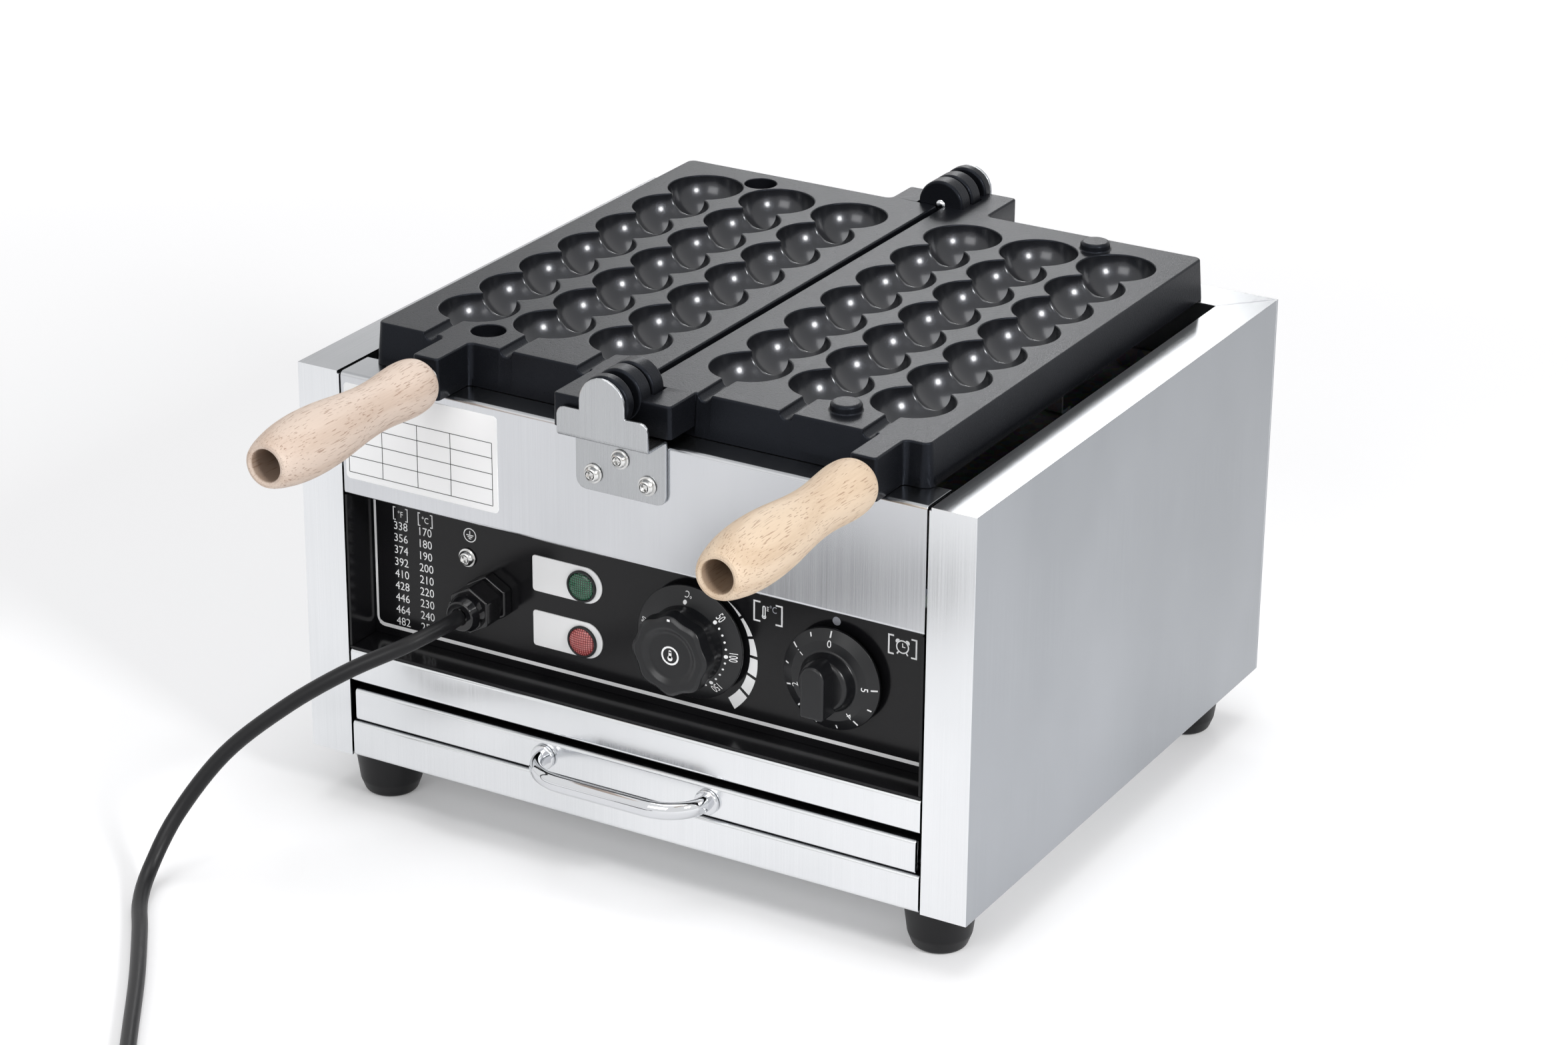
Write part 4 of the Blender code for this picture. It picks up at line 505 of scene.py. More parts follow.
def makeCoating():
    # The plates' non-stick coating: satin on the faces and glossier in the cavities, where it shows the
    # grain of the casting. A place is in a cavity where it lies under the top, between the rows' borders.
    graph = newGraph("cast_black")
    c = coating
    x, y, z = (part / mm for part in graph.axes(graph.place(), "XYZ"))
    x, y, z = abs(x), y - rowOffset[1] / mm, z - rowOffset[2] / mm
    inside = (c["top"] - z).smooth(0, 0.6)
    for within in (x - c["rowsFrom"], c["rowsTo"] - x, y - c["front"], c["rear"] - y):
        inside = inside * within.smooth(0, 0.4)
    grain = graph.noise(c["grain"], detail=3.0, roughness=0.7)
    return graph.surface(Base_Color=graph.mix(graph.noise(c["cloud"]), c["dark"], c["pale"]), Metallic=0.0,
                         Roughness=c["roughness"] + 0.10 * (grain - 0.5) - 0.11 * inside,
                         Specular_IOR_Level=c["gloss"], Specular_Tint=c["sheen"],
                         Coat_Weight=inside, Coat_Roughness=c["cavityRoughness"],
                         Normal=graph.bump(grain, c["grainDepth"]))


handles = {
    "at": {"left": -101.3, "right": 127.5}, "z": 210.0, "start": -12.1, "length": 118.0,
    "along": (0.0, 1.2, 4.0, 8.0, 14.0, 22.0, 31.0, 40.0, 50.0, 60.0, 71.0, 82.0, 92.0, 101.5, 109.5, 115.0,
              118.0),
    "radii": (8.6, 10.8, 12.3, 13.0, 13.2, 12.7, 12.0, 11.8, 12.3, 13.3, 14.5, 15.15, 15.15, 14.4, 13.0, 11.6,
              10.3),
    "bore": 7.5, "boreDepth": 45.0, "boreEdge": 0.8, "mouthOut": 0.4, "mouthFlare": 1.6, "mouthBevel": 0.4,
    "boltHole": 4.3, "collar": 7.8, "collarEdge": 0.5,
}

beech = {
    "left": ((0.67, 0.55, 0.465), (0.53, 0.40, 0.315)),
    "right": ((0.67, 0.535, 0.400), (0.51, 0.37, 0.250)),
    "fleck": (0.24, 0.13, 0.08), "bore": (0.20, 0.125, 0.08), "boreFade": (50, 66), "rings": 620.0,
    "wave": (24, 6, 24), "fibre": (1100, 40, 1100), "flecks": (1900, 120, 1900), "band": (70, 12, 70),
    "fibreDepth": 0.04,
}


def makeBeech(name, side):
    # Growth rings about a heart beside the handle, with the short dark flecks of beech along the grain, and
    # darker wood in the bore, which is what lies within 8 mm of the handle's axis
    graph = newGraph(name)
    b = beech
    pale, dark = b[side]
    x, z = graph.axes(graph.place(), "XZ")
    wave = graph.noise(*b["wave"])
    ring = ((z * 0.94 + x * 0.35) * b["rings"] + wave * 9.0).sine().smooth(-0.6, 1.0)
    fibre = graph.noise(*b["fibre"], detail=3.0, roughness=0.65)
    fleck = graph.noise(*b["flecks"], detail=1.0).smooth(0.60, 0.68)
    share = (0.30 * ring + 0.55 * (fibre - 0.4) + 0.5 * (graph.noise(*b["band"]) - 0.4)).smooth(0.0, 0.9)
    wood = graph.mix(0.6 * fleck, graph.mix(share, pale, dark), b["fleck"])
    across = x / mm - handles["at"][side]
    up = (z - rowOffset[2]) / mm - handles["z"]
    # Darker wood within the bore, faded in between these distances from the axis
    inBore = 1 - (across * across + up * up).smooth(*b["boreFade"])
    return graph.surface(Base_Color=graph.mix(inBore, wood, b["bore"]), Roughness=0.48 + 0.12 * fibre,
                         Specular_IOR_Level=0.35, Normal=graph.bump(fibre, b["fibreDepth"]))


lenses = {
    # Each lens's own tone, then a brighter one painted as a highlight in each facet's middle
    "green_lens": ((0.003, 0.030, 0.013), (0.015, 0.16, 0.075)),
    "red_lens": ((0.20, 0.012, 0.016), (0.72, 0.20, 0.19)),
}


def makeLens(name, dark, bright, facet=1.15):
    # A lens with a fine square lattice of facets, each with a painted highlight towards its middle
    graph = newGraph(name)
    x, z = (abs((part * (math.pi / (facet * mm))).sine()) for part in graph.axes(graph.place(), "XZ"))
    facetsAndGlint = x * z
    return graph.surface(Base_Color=graph.mix(facetsAndGlint.smooth(0.1, 0.8), dark, bright), Roughness=0.16,
                         Normal=graph.bump(facetsAndGlint, 0.25), Coat_Weight=0.5)


plainLooks = {  # colour, roughness, grain, its depth, gloss
    "black_panel": ((0.007, 0.007, 0.008), 0.16, 1500, 0.001, 0.25),
    "black_plastic": ((0.0065, 0.0068, 0.008), 0.32, 2200, 0.006, 0.4),
    "black_rubber": ((0.006, 0.006, 0.007), 0.42, 1600, 0.01, 0.3),
    "ivory_plastic": ((0.70, 0.66, 0.56), 0.45, 900, 0.01, 0.3),
    "gloss_black": ((0.006, 0.006, 0.007), 0.12, 900, 0.004, 0.5),
    "white_print": ((0.90, 0.905, 0.91), 0.45, 1200, 0.0005, 0.3),
    "grey_print": ((0.35, 0.36, 0.40), 0.45, 1200, 0.0005, 0.3),
}


def makePlain(name, colour, roughness, grainSize, depth, gloss):
    graph = newGraph(name)
    grain = graph.noise(grainSize)
    return graph.surface(Base_Color=colour, Roughness=roughness + 0.08 * (grain - 0.5),
                         Specular_IOR_Level=gloss, Normal=graph.bump(grain, depth))


finishes = {
    # Each steel finish paints shade by facing: side and level faces darker than front ones
    "stainless": makeSteel("stainless", steel["front"]),
    # A darker copy of stainless for the upper panel: painted shade
    "shaded_panel_steel": makeSteel("shaded_panel_steel", steel["shadedUpperPanel"]),
    "bracket_steel": makeSteel("bracket_steel", steel["bracket"], roughness=0.28),
    "element_steel": makeSteel("element_steel", *[steel["heated"]] * 3, roughness=0.45, depth=0.004),
    "galvanised": makeGalvanised(),
    "chrome": makePolished("chrome", (0.66, 0.67, 0.69), 0.04),
    "zinc_steel": makePolished("zinc_steel", (0.66, 0.66, 0.65), 0.20),
    "cast_black": makeCoating(),
    "beech": makeBeech("beech", "left"),
    "yellow_beech": makeBeech("yellow_beech", "right"),
    **{name: makeLens(name, *tones) for name, tones in lenses.items()},
    **{name: makePlain(name, *look) for name, look in plainLooks.items()},
}

slotOf = {part["node"]: part["material_slot"] for part in frame["record"]["subparts"]}
bodyOf = {node: body for body, held in frame["record"]["behaviour"]["bodies"].items() for node in held}
for node, obj in nodes.items():
    obj.data.materials.clear()
    obj.data.materials.append(finishes[slotOf[node]])
print("finishes")

# Mains cord, the CAD model's own route

cord = {
    "diameter": 7.5, "sides": 16, "spacing": 6.0,
    "route": (
        (-86.0, -8.7, 93.5), (-86.0, -19.0, 93.5), (-94.0, -39.5, 89.5), (-117.0, -56.0, 77.0),
        (-143.0, -69.0, 58.0), (-169.0, -83.0, 33.0), (-186.0, -99.0, 4.0), (-189.0, -117.0, -16.5),
        (-181.0, -136.0, -23.65), (-164.0, -158.0, -24.25), (-138.0, -193.0, -24.25),
        (-109.0, -235.0, -24.25), (-67.4, -295.0, -23.45),
    ),
    "heading": (0.574, -0.819), "coilRadius": 40.0, "turns": 5, "stepsPerTurn": 48, "pitch": 8.2,
    "lift": 1.8, "lead": 8.5, "tail": 20.0, "floor": -28.0, "gap": 0.3,
}


def coilPoints():
    # Two layers of turns: radius falls by a pitch a turn to the middle and grows again one layer up
    heading = np.array([*cord["heading"], 0])
    heading /= np.linalg.norm(heading)
    inward = np.array([heading[1], -heading[0], 0])
    turns, pitch = cord["turns"], cord["pitch"]
    start = np.array(cord["route"][-1]) + heading * cord["gap"]
    start[2] = cord["floor"] + cord["lift"] + cord["diameter"] / 2
    outer = cord["coilRadius"] + pitch * turns / 4
    centre = start + heading * cord["lead"] + inward * outer
    turn = np.linspace(0, turns, turns * cord["stepsPerTurn"] + 1)[:, None]
    radius = outer - pitch * (turns / 2 - abs(turn - turns / 2))
    climb = np.clip((turn - turns / 2) * 2 + 0.5, 0, 1)
    height = pitch * climb**2 * (3 - 2 * climb) * np.array([0, 0, 1])
    spoke = heading * np.sin(math.tau * turn) - inward * np.cos(math.tau * turn)
    points = centre + spoke * radius + height
    return np.vstack([start, points, points[-1] + heading * cord["tail"]])


def makeCord():
    # A tube: at each point of the path a circle stands across the path's direction, spanned by a level
    # vector and the one square to both, and both ends are drawn in to a point
    path = np.vstack([smoothPath(cord["route"], 24, spacing=cord["spacing"]), coilPoints()])
    ahead = np.gradient(path, axis=0)
    ahead /= np.linalg.norm(ahead, axis=1)[:, None]
    level = np.cross(ahead, [0, 0, 1])
    level /= np.linalg.norm(level, axis=1)[:, None]
    above = np.cross(level, ahead)
    turn = np.linspace(0, math.tau, cord["sides"], endpoint=False)[:, None]
    circles = np.cos(turn) * level[:, None] + np.sin(turn) * above[:, None]
    rings = path[:, None] + cord["diameter"] / 2 * circles
    first, last = (np.repeat(path[k:k + 1, None], cord["sides"], axis=1) for k in (0, len(path) - 1))
    tube = Surface().grid(np.vstack([first, rings, last]), roundColumns=True)
    obj = makePiece("mains_cord", tube, "housing", "black_rubber", ["cord", "cord_coil"])


makeCord()
print("mains cord")

# Cast plates. One plate is worked out with its x positive, and each side mirrors it as it needs.

plates = {
    "top": 220.8, "bottom": 200.3, "blockBottom": 205.0, "front": 17.8, "rear": 300.2,
    "inner": 1.8, "outer": 146.5, "blockEdge": 27.6,
    "corner": 4.0, "smallCorner": 2.0, "innerCorner": 3.0, "blockCorner": 0.3, "edge": 1.0, "flare": 1.5,
    "rows": (32.2, 74.3, 116.4), "firstBall": 58.8, "ballPitch": 34.4, "balls": 7,
    "ball": 19.2, "ridge": 1.2, "rim": 0.7, "groove": 3.5, "grooveRounding": 1.5,
    "rimWall": 7.0, "rimCorner": 4.0, "deck": 8.0, "dome": 22.0,
    "pegX": 95.35, "pegY": (35.0, 285.0), "peg": 7.5, "pegHeight": 4.0, "hole": 8.3, "holeDepth": 7.2,
    "arm": {"left": (94.3, 108.3, 3.0), "right": (121.0, 134.5, 0.3)}, "armFront": -8.5,
    "frontEnd": {"left": -14.7, "right": -3.7}, "rearEnd": {"left": 321.7, "right": 332.7},
    "axis": 221.3, "knuckle": 12.5, "knuckleEdge": 1.4, "pocket": 13.5,
    "knuckles": {"left": ((-15.2, -9.2), (6.5, 16.0), (313.0, 322.2)),
                 "right": ((-4.2, 5.0), (302.0, 311.5), (327.2, 333.2))},
    "pockets": {"left": ((-4.95, 5.75), (301.25, 312.25)), "right": ((5.75, 16.75), (312.25, 322.95))},
    "holeLip": 0.6, "holeBend": 0.5, "holeFoot": 0.6,
    "pegSkirt": 1.2, "pegFillet": 0.8, "pegTaper": 0.3, "pegCrown": 1.7,
    "flareFrom": 6.5, "step": 0.01, "nearness": 0.001,
}


def rowProfile(ball, grooved):
    # Half widths r at places y along a row: arcs sqrt(ball^2 - (y - centre)^2) joined over rounded ridges
    # whose centre lies at sqrt((ball + ridge)^2 - (pitch/2)^2) from the row's axis
    p = plates
    pitch, ridge, first = p["ballPitch"], p["ridge"], p["firstBall"]
    beta = math.asin(pitch / 2 / (ball + ridge))
    reach = math.sqrt((ball + ridge)**2 - pitch**2 / 4)
    swing = np.linspace(-beta, beta, 19)
    arc = np.stack([ball * np.sin(swing), ball * np.cos(swing)], 1)
    over = np.linspace(beta - math.pi / 2, math.pi / 2 - beta, 7)[1:-1]
    ridgeArc = np.stack([pitch / 2 + ridge * np.sin(over), reach - ridge * np.cos(over)], 1)
    parts = []
    if grooved:
        groove, rounding = p["groove"], p["grooveRounding"]
        out = math.sqrt((ball + rounding)**2 - (groove + rounding)**2)
        tilt = math.atan2(out, groove + rounding)
        ahead = np.linspace(p["front"] + p["edge"], first - out, 5)[:-1]
        bend = np.linspace(0, tilt, 6)[:-1]
        start = np.linspace(-tilt, -beta, 9)[:-1]
        parts = [np.stack([ahead, np.full(len(ahead), groove)], 1),
                 np.stack([first - out + rounding * np.sin(bend), groove + rounding * (1 - np.cos(bend))], 1),
                 np.stack([first + ball * np.sin(start), ball * np.cos(start)], 1)]
    for k in range(p["balls"]):
        part = arc if k or grooved else arc[arc[:, 0] > p["nearness"]]
        whole = k < p["balls"] - 1
        part = np.vstack([part, ridgeArc]) if whole else part[part[:, 0] < -p["nearness"]]
        parts.append(part + [first + k * pitch, 0])
    return np.vstack(parts)


def rowSheet(x, cavity):
    # A sheet P = a + e * r * cos(phi) - z * r * sin(phi) from the row's rim down to its bottom line. The
    # path runs up the row's left side, half round the last ball and back down its right side. A cavity
    # row is open into its groove and has a rounded rim. A row of domes goes half round the first ball.
    p = plates
    ball, level, depths = (p["ball"], p["rim"], 14) if cavity else (p["dome"], p["deck"], 9)
    y, radius = rowProfile(ball, cavity).T
    lastBall = p["firstBall"] + (p["balls"] - 1) * p["ballPitch"]
    around = np.linspace(0, math.pi, 29)
    parts = [(y, radius, -1, 0), (lastBall, ball, -np.cos(around), np.sin(around)),
             (y[::-1], radius[::-1], 1, 0)]
    if not cavity:
        parts.append((p["firstBall"], ball, np.cos(around[1:-1]), -np.sin(around[1:-1])))
    y, radius, ex, ey = np.hstack([np.array(np.broadcast_arrays(*part)) for part in parts])
    share = np.linspace(0, 1, depths)[None, :]
    phi = np.arcsin(level / radius)[:, None] * (1 - share) + math.pi / 2 * share
    reach = radius[:, None] * np.cos(phi)
    sheet = np.stack([x + ex[:, None] * reach, y[:, None] + ey[:, None] * reach,
                      radius[:, None] * np.sin(phi)], -1)
    if cavity:
        base = np.sqrt(radius**2 - level**2)
        plan = np.stack([x + ex * base, y + ey * base], 1)
        tangent = np.gradient(plan, axis=0)
        tangent /= np.linalg.norm(tangent, axis=1)[:, None]
        outward = np.stack([-tangent[:, 1], tangent[:, 0]], 1)
        bend = np.linspace(math.pi / 2, 0, 6)[None, :-1, None]
        lip = plan[:, None] + outward[:, None] * level * (1 - np.cos(bend))
        drop = np.broadcast_to(level * (1 - np.sin(bend)), (*lip.shape[:2], 1))
        sheet = np.concatenate([np.concatenate([lip, drop], -1), sheet], 1)
    sheet[..., 2] = p["top"] - sheet[..., 2]
    return sheet


def plateStations(side, rows):
    # The outline's stations (x, y, normal x, normal y, top, row, bottom). The front wall also gets those
    # of each groove's section, whose top follows the groove. row is -1 outside the grooves.
    p = plates
    front, rear, inner, outer, blockEdge = (
        p[edge] for edge in ("front", "rear", "inner", "outer", "blockEdge"))
    low, high, tight = p["arm"][side]
    blockFront, blockRear, armFront = p["frontEnd"][side], p["rearEnd"][side], p["armFront"]
    big, small, hollow = p["corner"], p["smallCorner"], p["innerCorner"]
    path = outline([
        (inner, blockFront, small), (blockEdge, blockFront, small), (blockEdge, front, p["blockCorner"]),
        (low, front, tight), (low, armFront, small), (high, armFront, small), (high, front, hollow),
        (outer, front, big), (outer, rear, big), (blockEdge, rear, hollow), (blockEdge, blockRear, small),
        (inner, blockRear, small),
    ])
    seam = [(inner, y, -1, 0) for y in (rear, rear - p["step"], front + p["step"], front)]
    path = np.vstack([path, seam])
    full = np.column_stack([path, np.full(len(path), p["top"]), np.full(len(path), -1)])
    for number, row in enumerate(rows):
        section = np.vstack([row[0], row[-1][::-1][1:]])
        own = np.zeros((len(section), 6))
        own[:, 0], own[:, 1], own[:, 3] = section[:, 0], front, -1
        own[:, 4], own[:, 5] = section[:, 2], number
        onFront = (abs(full[:, 1] - front) < p["nearness"]) & (full[:, 3] < p["nearness"] - 1)
        fits = onFront[:-1] & onFront[1:] & (full[:-1, 0] < own[0, 0]) & (own[-1, 0] < full[1:, 0])
        at = np.nonzero(fits)[0][0] + 1
        full = np.vstack([full[:at], own, full[at:]])
    inBlock = (full[:, 0] < blockEdge + hollow + p["nearness"]) & (full[:, 5] < 0)
    inBlock &= (full[:, 1] < front + p["nearness"]) | (full[:, 1] > rear - p["nearness"])
    full = np.column_stack([full, np.where(inBlock, p["blockBottom"], p["bottom"])])
    # Where a block ends on the front or rear wall, a second station beside the last carries the step
    ends = np.nonzero((inBlock[:-1] != inBlock[1:]) & (full[:-1, 0] > inner + 1))[0]
    for k in ends[::-1]:
        twin = full[k if inBlock[k] else k + 1].copy()
        twin[0] += p["step"]
        twin[6] = p["bottom"]
        full = np.insert(full, k + 1, twin, axis=0)
    return full


def pegOrHole(side, y):
    # A locating hole in the left plate or a peg on the right one, from the plate's top inwards
    p = plates
    if side == "left":
        hole, depth = p["hole"], -p["holeDepth"]
        fitting = [(0, hole + p["holeLip"]), (0, hole, p["holeBend"]), (depth, hole, p["holeFoot"]),
                   (depth, 0)]
    else:
        peg, height = p["peg"], p["pegHeight"]
        fitting = [(0, peg + p["pegSkirt"]), (0, peg, p["pegFillet"]),
                   (height, peg - p["pegTaper"], p["pegCrown"]), (height, 0)]
    return turnedSheet(rounded(fitting, 5), (p["pegX"], y, p["top"]), (0, 0, 1), (1, 0, 0), 48)


def plateShell(side):
    p = plates
    edge = p["edge"]
    rows = [rowSheet(x, True) for x in p["rows"]]
    x, y, nx, ny, top, rowAt, bottom = plateStations(side, rows).T
    # Rounded top edge, then walls that flare outwards to the bottom, but not at the blocks and the arm
    farOut = p["innerCorner"] + p["step"]
    away = (y < p["front"] - farOut) | (y > p["rear"] + farOut) | np.isclose(bottom, p["blockBottom"])
    flare = p["flare"] * np.where(away, 0, np.where(x > p["outer"] - p["flareFrom"], 1, abs(ny)))
    wall = []
    for bend in np.linspace(math.pi / 2, 0, 6):
        inset = edge * (1 - math.cos(bend))
        wall.append(np.stack([x - nx * inset, y - ny * inset, top - edge * (1 - math.sin(bend))], 1))
    height = p["top"] - edge - p["bottom"]
    for level in (np.full(len(x), p["blockBottom"]), bottom):
        out = flare * (p["top"] - edge - level) / height
        wall.append(np.stack([x + nx * out, y + ny * out, level], 1))
    wall = np.stack(wall, 1)
    shell = Surface().grid(wall, roundRows=True)
    for row in rows:
        shell.grid(row)

    # Top face, whose rim leaves the front wall along each cavity row in turn
    rim, seen = [], set()
    for k, number in enumerate(rowAt.astype(int)):
        if number < 0:
            rim.append(wall[k, :1])
        elif number not in seen:
            seen.add(number)
            rim.append(rows[number][:, 0])
    fittings = [pegOrHole(side, pegY) for pegY in p["pegY"]]
    for sheet in fittings:
        shell.grid(sheet, roundColumns=True)
    shell.cap([np.vstack(rim)] + [sheet[0] for sheet in fittings])

    # Underside: the rim wall's foot, the hollow inside it and the balls' backs
    under = np.isclose(bottom, p["bottom"])
    foot = wall[:, -1]
    gap, turn = p["rimWall"], p["rimCorner"]
    left, right, near, far = p["inner"] + gap, p["outer"] - gap, p["front"] + gap, p["rear"] - gap
    inside = outline([(left, near, turn), (right, near, turn), (right, far, turn), (left, far, turn)])
    low, high = (np.column_stack([inside[:, :2], np.full(len(inside), z)])
                 for z in (p["bottom"], p["top"] - p["deck"]))
    shell.cap([foot[under], low])
    shell.grid(np.stack([low, high]), roundColumns=True)
    domes = [rowSheet(x, False) for x in p["rows"]]
    for dome in domes:
        shell.grid(dome, roundRows=True)
    shell.cap([high] + [dome[:, 0] for dome in domes])
    for block in (~under & (y < p["front"] + 1), ~under & (y > p["rear"] - 1)):
        held = np.nonzero(block)[0]
        gaps = np.nonzero(np.diff(held) > 1)[0]
        if len(gaps):  # the front block's run passes the path's own start
            held = np.roll(held, -gaps[0] - 1)
        shell.cap([foot[held]])
        before, after = (held[0] - 1) % len(x), (held[-1] + 1) % len(x)
        shell.grid([[foot[before], foot[held[0]]], [foot[after], foot[held[-1]]]])
    return shell


def makePlate(side):
    p = plates
    name, body = f"{side}_plate_casting", f"{side}_plate"
    around = {"centre": (0, 0, p["axis"]), "axis": (0, 1, 0), "steps": 72}
    shell = plateShell(side)
    shell.points = [points * [-1 if side == "left" else 1, 1, 1] for points in shell.points]
    plate = makePiece(name, shell, body, "cast_black")
    cutters = []
    for low, high in p["pockets"][side]:
        drum = Surface().turned([(low, 0), (low, p["pocket"]), (high, p["pocket"]), (high, 0)], **around)
        cutters.append(makePiece("pocket", drum, body, "cast_black"))
    for cutter in cutters:
        cut = plate.modifiers.new("pocket", "BOOLEAN")
        cut.operation, cut.solver, cut.object = "DIFFERENCE", "EXACT", cutter
        plate.modifiers.move(len(plate.modifiers) - 1, 0)
    bpy.context.view_layer.update()
    carved = bpy.data.meshes.new_from_object(plate.evaluated_get(bpy.context.evaluated_depsgraph_get()))
    knuckles = Surface()
    for low, high in p["knuckles"][side]:
        size, bend = p["knuckle"], p["knuckleEdge"]
        knuckles.turned(rounded([(low, 0), (low, size, bend), (high, size, bend), (high, 0)], 5), **around)
    discs = makePiece("knuckles", knuckles, body, "cast_black")
    with editing(carved) as bm:
        bm.from_mesh(discs.data)
    for obj in (*cutters, plate, discs):
        bpy.data.objects.remove(obj)
    flatten(dress(name, carved, body, "cast_black", [f"mould_{side}"]))


for side in ("left", "right"):
    makePlate(side)
print("cast plates")

# Handles and their ferrules

def makeHandle(side):
    h = handles
    x, z, end, bore, hole, deep = (h[part] for part in ("at", "z", "length", "bore", "boltHole", "boreDepth"))
    grip = smoothPath(np.column_stack([h["along"], h["radii"]]), 16, count=90)
    mouth = [(end + h["mouthOut"], bore + h["mouthFlare"]), (end, bore + h["mouthBevel"]),
             (end - h["boreEdge"], bore), (end - deep, bore), (end - deep, hole), (0, hole), (0, grip[0, 1])]
    wood = Surface().turned(np.vstack([grip, mouth]), (x[side], h["start"], z), steps=72)
    makePiece(f"{side}_grip", wood, f"{side}_plate", "beech", [f"handle_{side}"],
              "yellow_beech" if side == "right" else None)
    low, high = boxOf(f"ferrule_{side}")
    long, size, bend = high[1] - low[1], h["collar"], h["collarEdge"]
    ring = rounded([(0, hole), (0, size, bend), (long, size, bend), (long, hole)], closed=True)
    makePiece(f"{side}_collar", Surface().turned(ring, (x[side], high[1], z)), f"{side}_plate", "zinc_steel",
              [f"ferrule_{side}"])


for side in ("left", "right"):
    makeHandle(side)
print("handles")

# Flat print and fittings of the control panel

panel = {"face": 20.0, "print": 19.93, "temperature": (26.3, 98.5), "timer": (101.0, 98.0)}


def inFront(flat, y, centre=(0, 0)):
    # Flat (x, z) points set out from a centre, on one upright plane or each at its own y
    flat = np.asarray(flat, float)
    y = np.broadcast_to(y, flat.shape[:-1])
    return np.stack([centre[0] + flat[..., 0], y, centre[1] + flat[..., 1]], -1)


def clockwise(flat, turn):
    c, s = math.cos(turn), math.sin(turn)
    return np.asarray(flat, float) @ np.array([[c, -s], [s, c]])


def spoke(turn):
    # The flat direction that lies this far clockwise from the top
    return np.array([math.sin(turn), math.cos(turn)])


glyphs = {}


def glyph(text):
    # The triangles of a line of text, one unit high, centred on its middle
    if text not in glyphs:
        data = bpy.data.curves.new("glyph", "FONT")
        data.body, data.align_x, data.align_y, data.resolution_u = text, "CENTER", "CENTER", 3
        obj = addObject("glyph", data)
        bpy.context.view_layer.update()
        mesh = obj.to_mesh()
        places = np.empty(3 * len(mesh.vertices))
        mesh.vertices.foreach_get("co", places)
        flat = places.reshape(-1, 3)[:, :2]
        faces = [list(face.vertices) for face in mesh.polygons]
        glyphs[text] = (flat - (flat.min(0) + flat.max(0)) / 2, faces)
        obj.to_mesh_clear()
        bpy.data.objects.remove(obj)
    return glyphs[text]


def band(inner, outer, first, last, steps=24):
    # A strip between two radii, from one clockwise turn (degrees from the top) to another
    turn = np.radians(np.linspace(first, last, steps))[:, None]
    radius = np.stack([np.broadcast_to(inner, (steps,)), np.broadcast_to(outer, (steps,))], 1)
    return np.stack([radius * np.sin(turn), radius * np.cos(turn)], -1)


def stroke(points, width):
    # A line of flat points given a width, its corners mitred
    points = np.asarray(points, float)
    run = np.diff(points, axis=0)
    run /= np.linalg.norm(run, axis=1)[:, None]
    normal = np.stack([-run[:, 1], run[:, 0]], 1)
    joined = np.vstack([normal[:1], normal[:-1] + normal[1:], normal[-1:]])
    joined /= (joined * np.vstack([normal[:1], normal])).sum(1)[:, None]
    return np.stack([points - joined * width / 2, points + joined * width / 2], 1)


class Print:
    # Thin flat marks that lie just over a face, gathered into one piece
    def __init__(self, place):
        self.surface, self.place = Surface(), place

    def strip(self, flat, at=(0, 0)):
        self.surface.grid(self.place(flat + np.asarray(at)))

    def line(self, points, width, at=(0, 0)):
        self.strip(stroke(points, width), at)

    def ring(self, at, inner, outer, steps):
        self.strip(band(inner, outer, 0, 360, steps), at)

    def disc(self, at, radius, steps=20):
        self.ring(at, 0, radius, steps)

    def words(self, text, size, at, turn=0.0, squeeze=1.0):
        flat, faces = glyph(text)
        flat = clockwise(flat * [size * squeeze, size], turn) + np.array(at)
        self.surface.polygons(self.place(flat), faces)

    def make(self, name, body="housing", slotName="ivory_plastic", material="white_print"):
        # Every mark's faces are turned to the front
        obj = makePiece(name, self.surface, body, slotName, material=material, closed=False)
        with editing(obj.data) as bm:
            bmesh.ops.reverse_faces(bm, faces=[face for face in bm.faces if face.normal.y > 0])


panelPrint = {
    "borderLeft": -152.8, "borderBottom": 63.8, "right": 154.0, "top": 138.0, "bend": 4.0,
    "borderWidth": 1.3, "baseWidth": 1.9,
    "columns": ((-138.0, "°F", 338, 18), (-123.7, "°C", 170, 10)),  # x, unit, first number, step
    "firstRow": 117.7, "rowPitch": 6.25, "rows": 9, "number": 6.0, "unit": 4.4, "headZ": 123.9,
    "unitBrackets": (4.0, 3.2, 0.5, 1.2),  # half width, half height, line width, arm
    "earth": (-98.2, 122.0), "earthRing": (3.1, 3.6), "earthLine": 0.5, "earthStem": 2.2,
    "earthBars": ((0, 2.0), (-0.9, 1.35), (-1.8, 0.7)),
    "dot": (100.4, 124.6), "dotRadius": 2.1,
    "bulbShift": (-2.1, 0.1), "bulbSize": 4.2, "bulbLine": 0.55, "degree": 4.6, "degreeShift": (2.7, 2.4),
    "tickFrom": 1.1, "tickPitch": 0.9, "tickEnds": (1.4, 2.4), "tickLine": 0.4,
    "thermometer": (64.7, 120.0), "thermometerBrackets": (7.3, 4.8, 0.8, 3.3),
    "clock": (134.2, 120.1), "clockBrackets": (7.0, 4.5, 0.8, 2.6),
    "arcTurns": (35, 55, 75, 93, 111, 128, 146), "arcInner": (28.3, 28.3, 28.8, 29.1, 29.7, 30.8, 31.4),
    "arcOuter": (28.44, 29.7, 31.3, 32.9, 34.6, 36.1, 37.4), "arcGap": 2.6,
}


def brackets(mark, at, half, tall, width, arm):
    for side in (-1, 1):
        mark.line([(side * (half - arm), tall), (side * half, tall), (side * half, -tall),
                   (side * (half - arm), -tall)], width, at)


thermometerShares = {
    "drop": 0.52, "half": 0.14, "top": 0.55, "foot": 0.30, "inner": 0.16, "outer": 0.28, "bulb": 0.12,
}


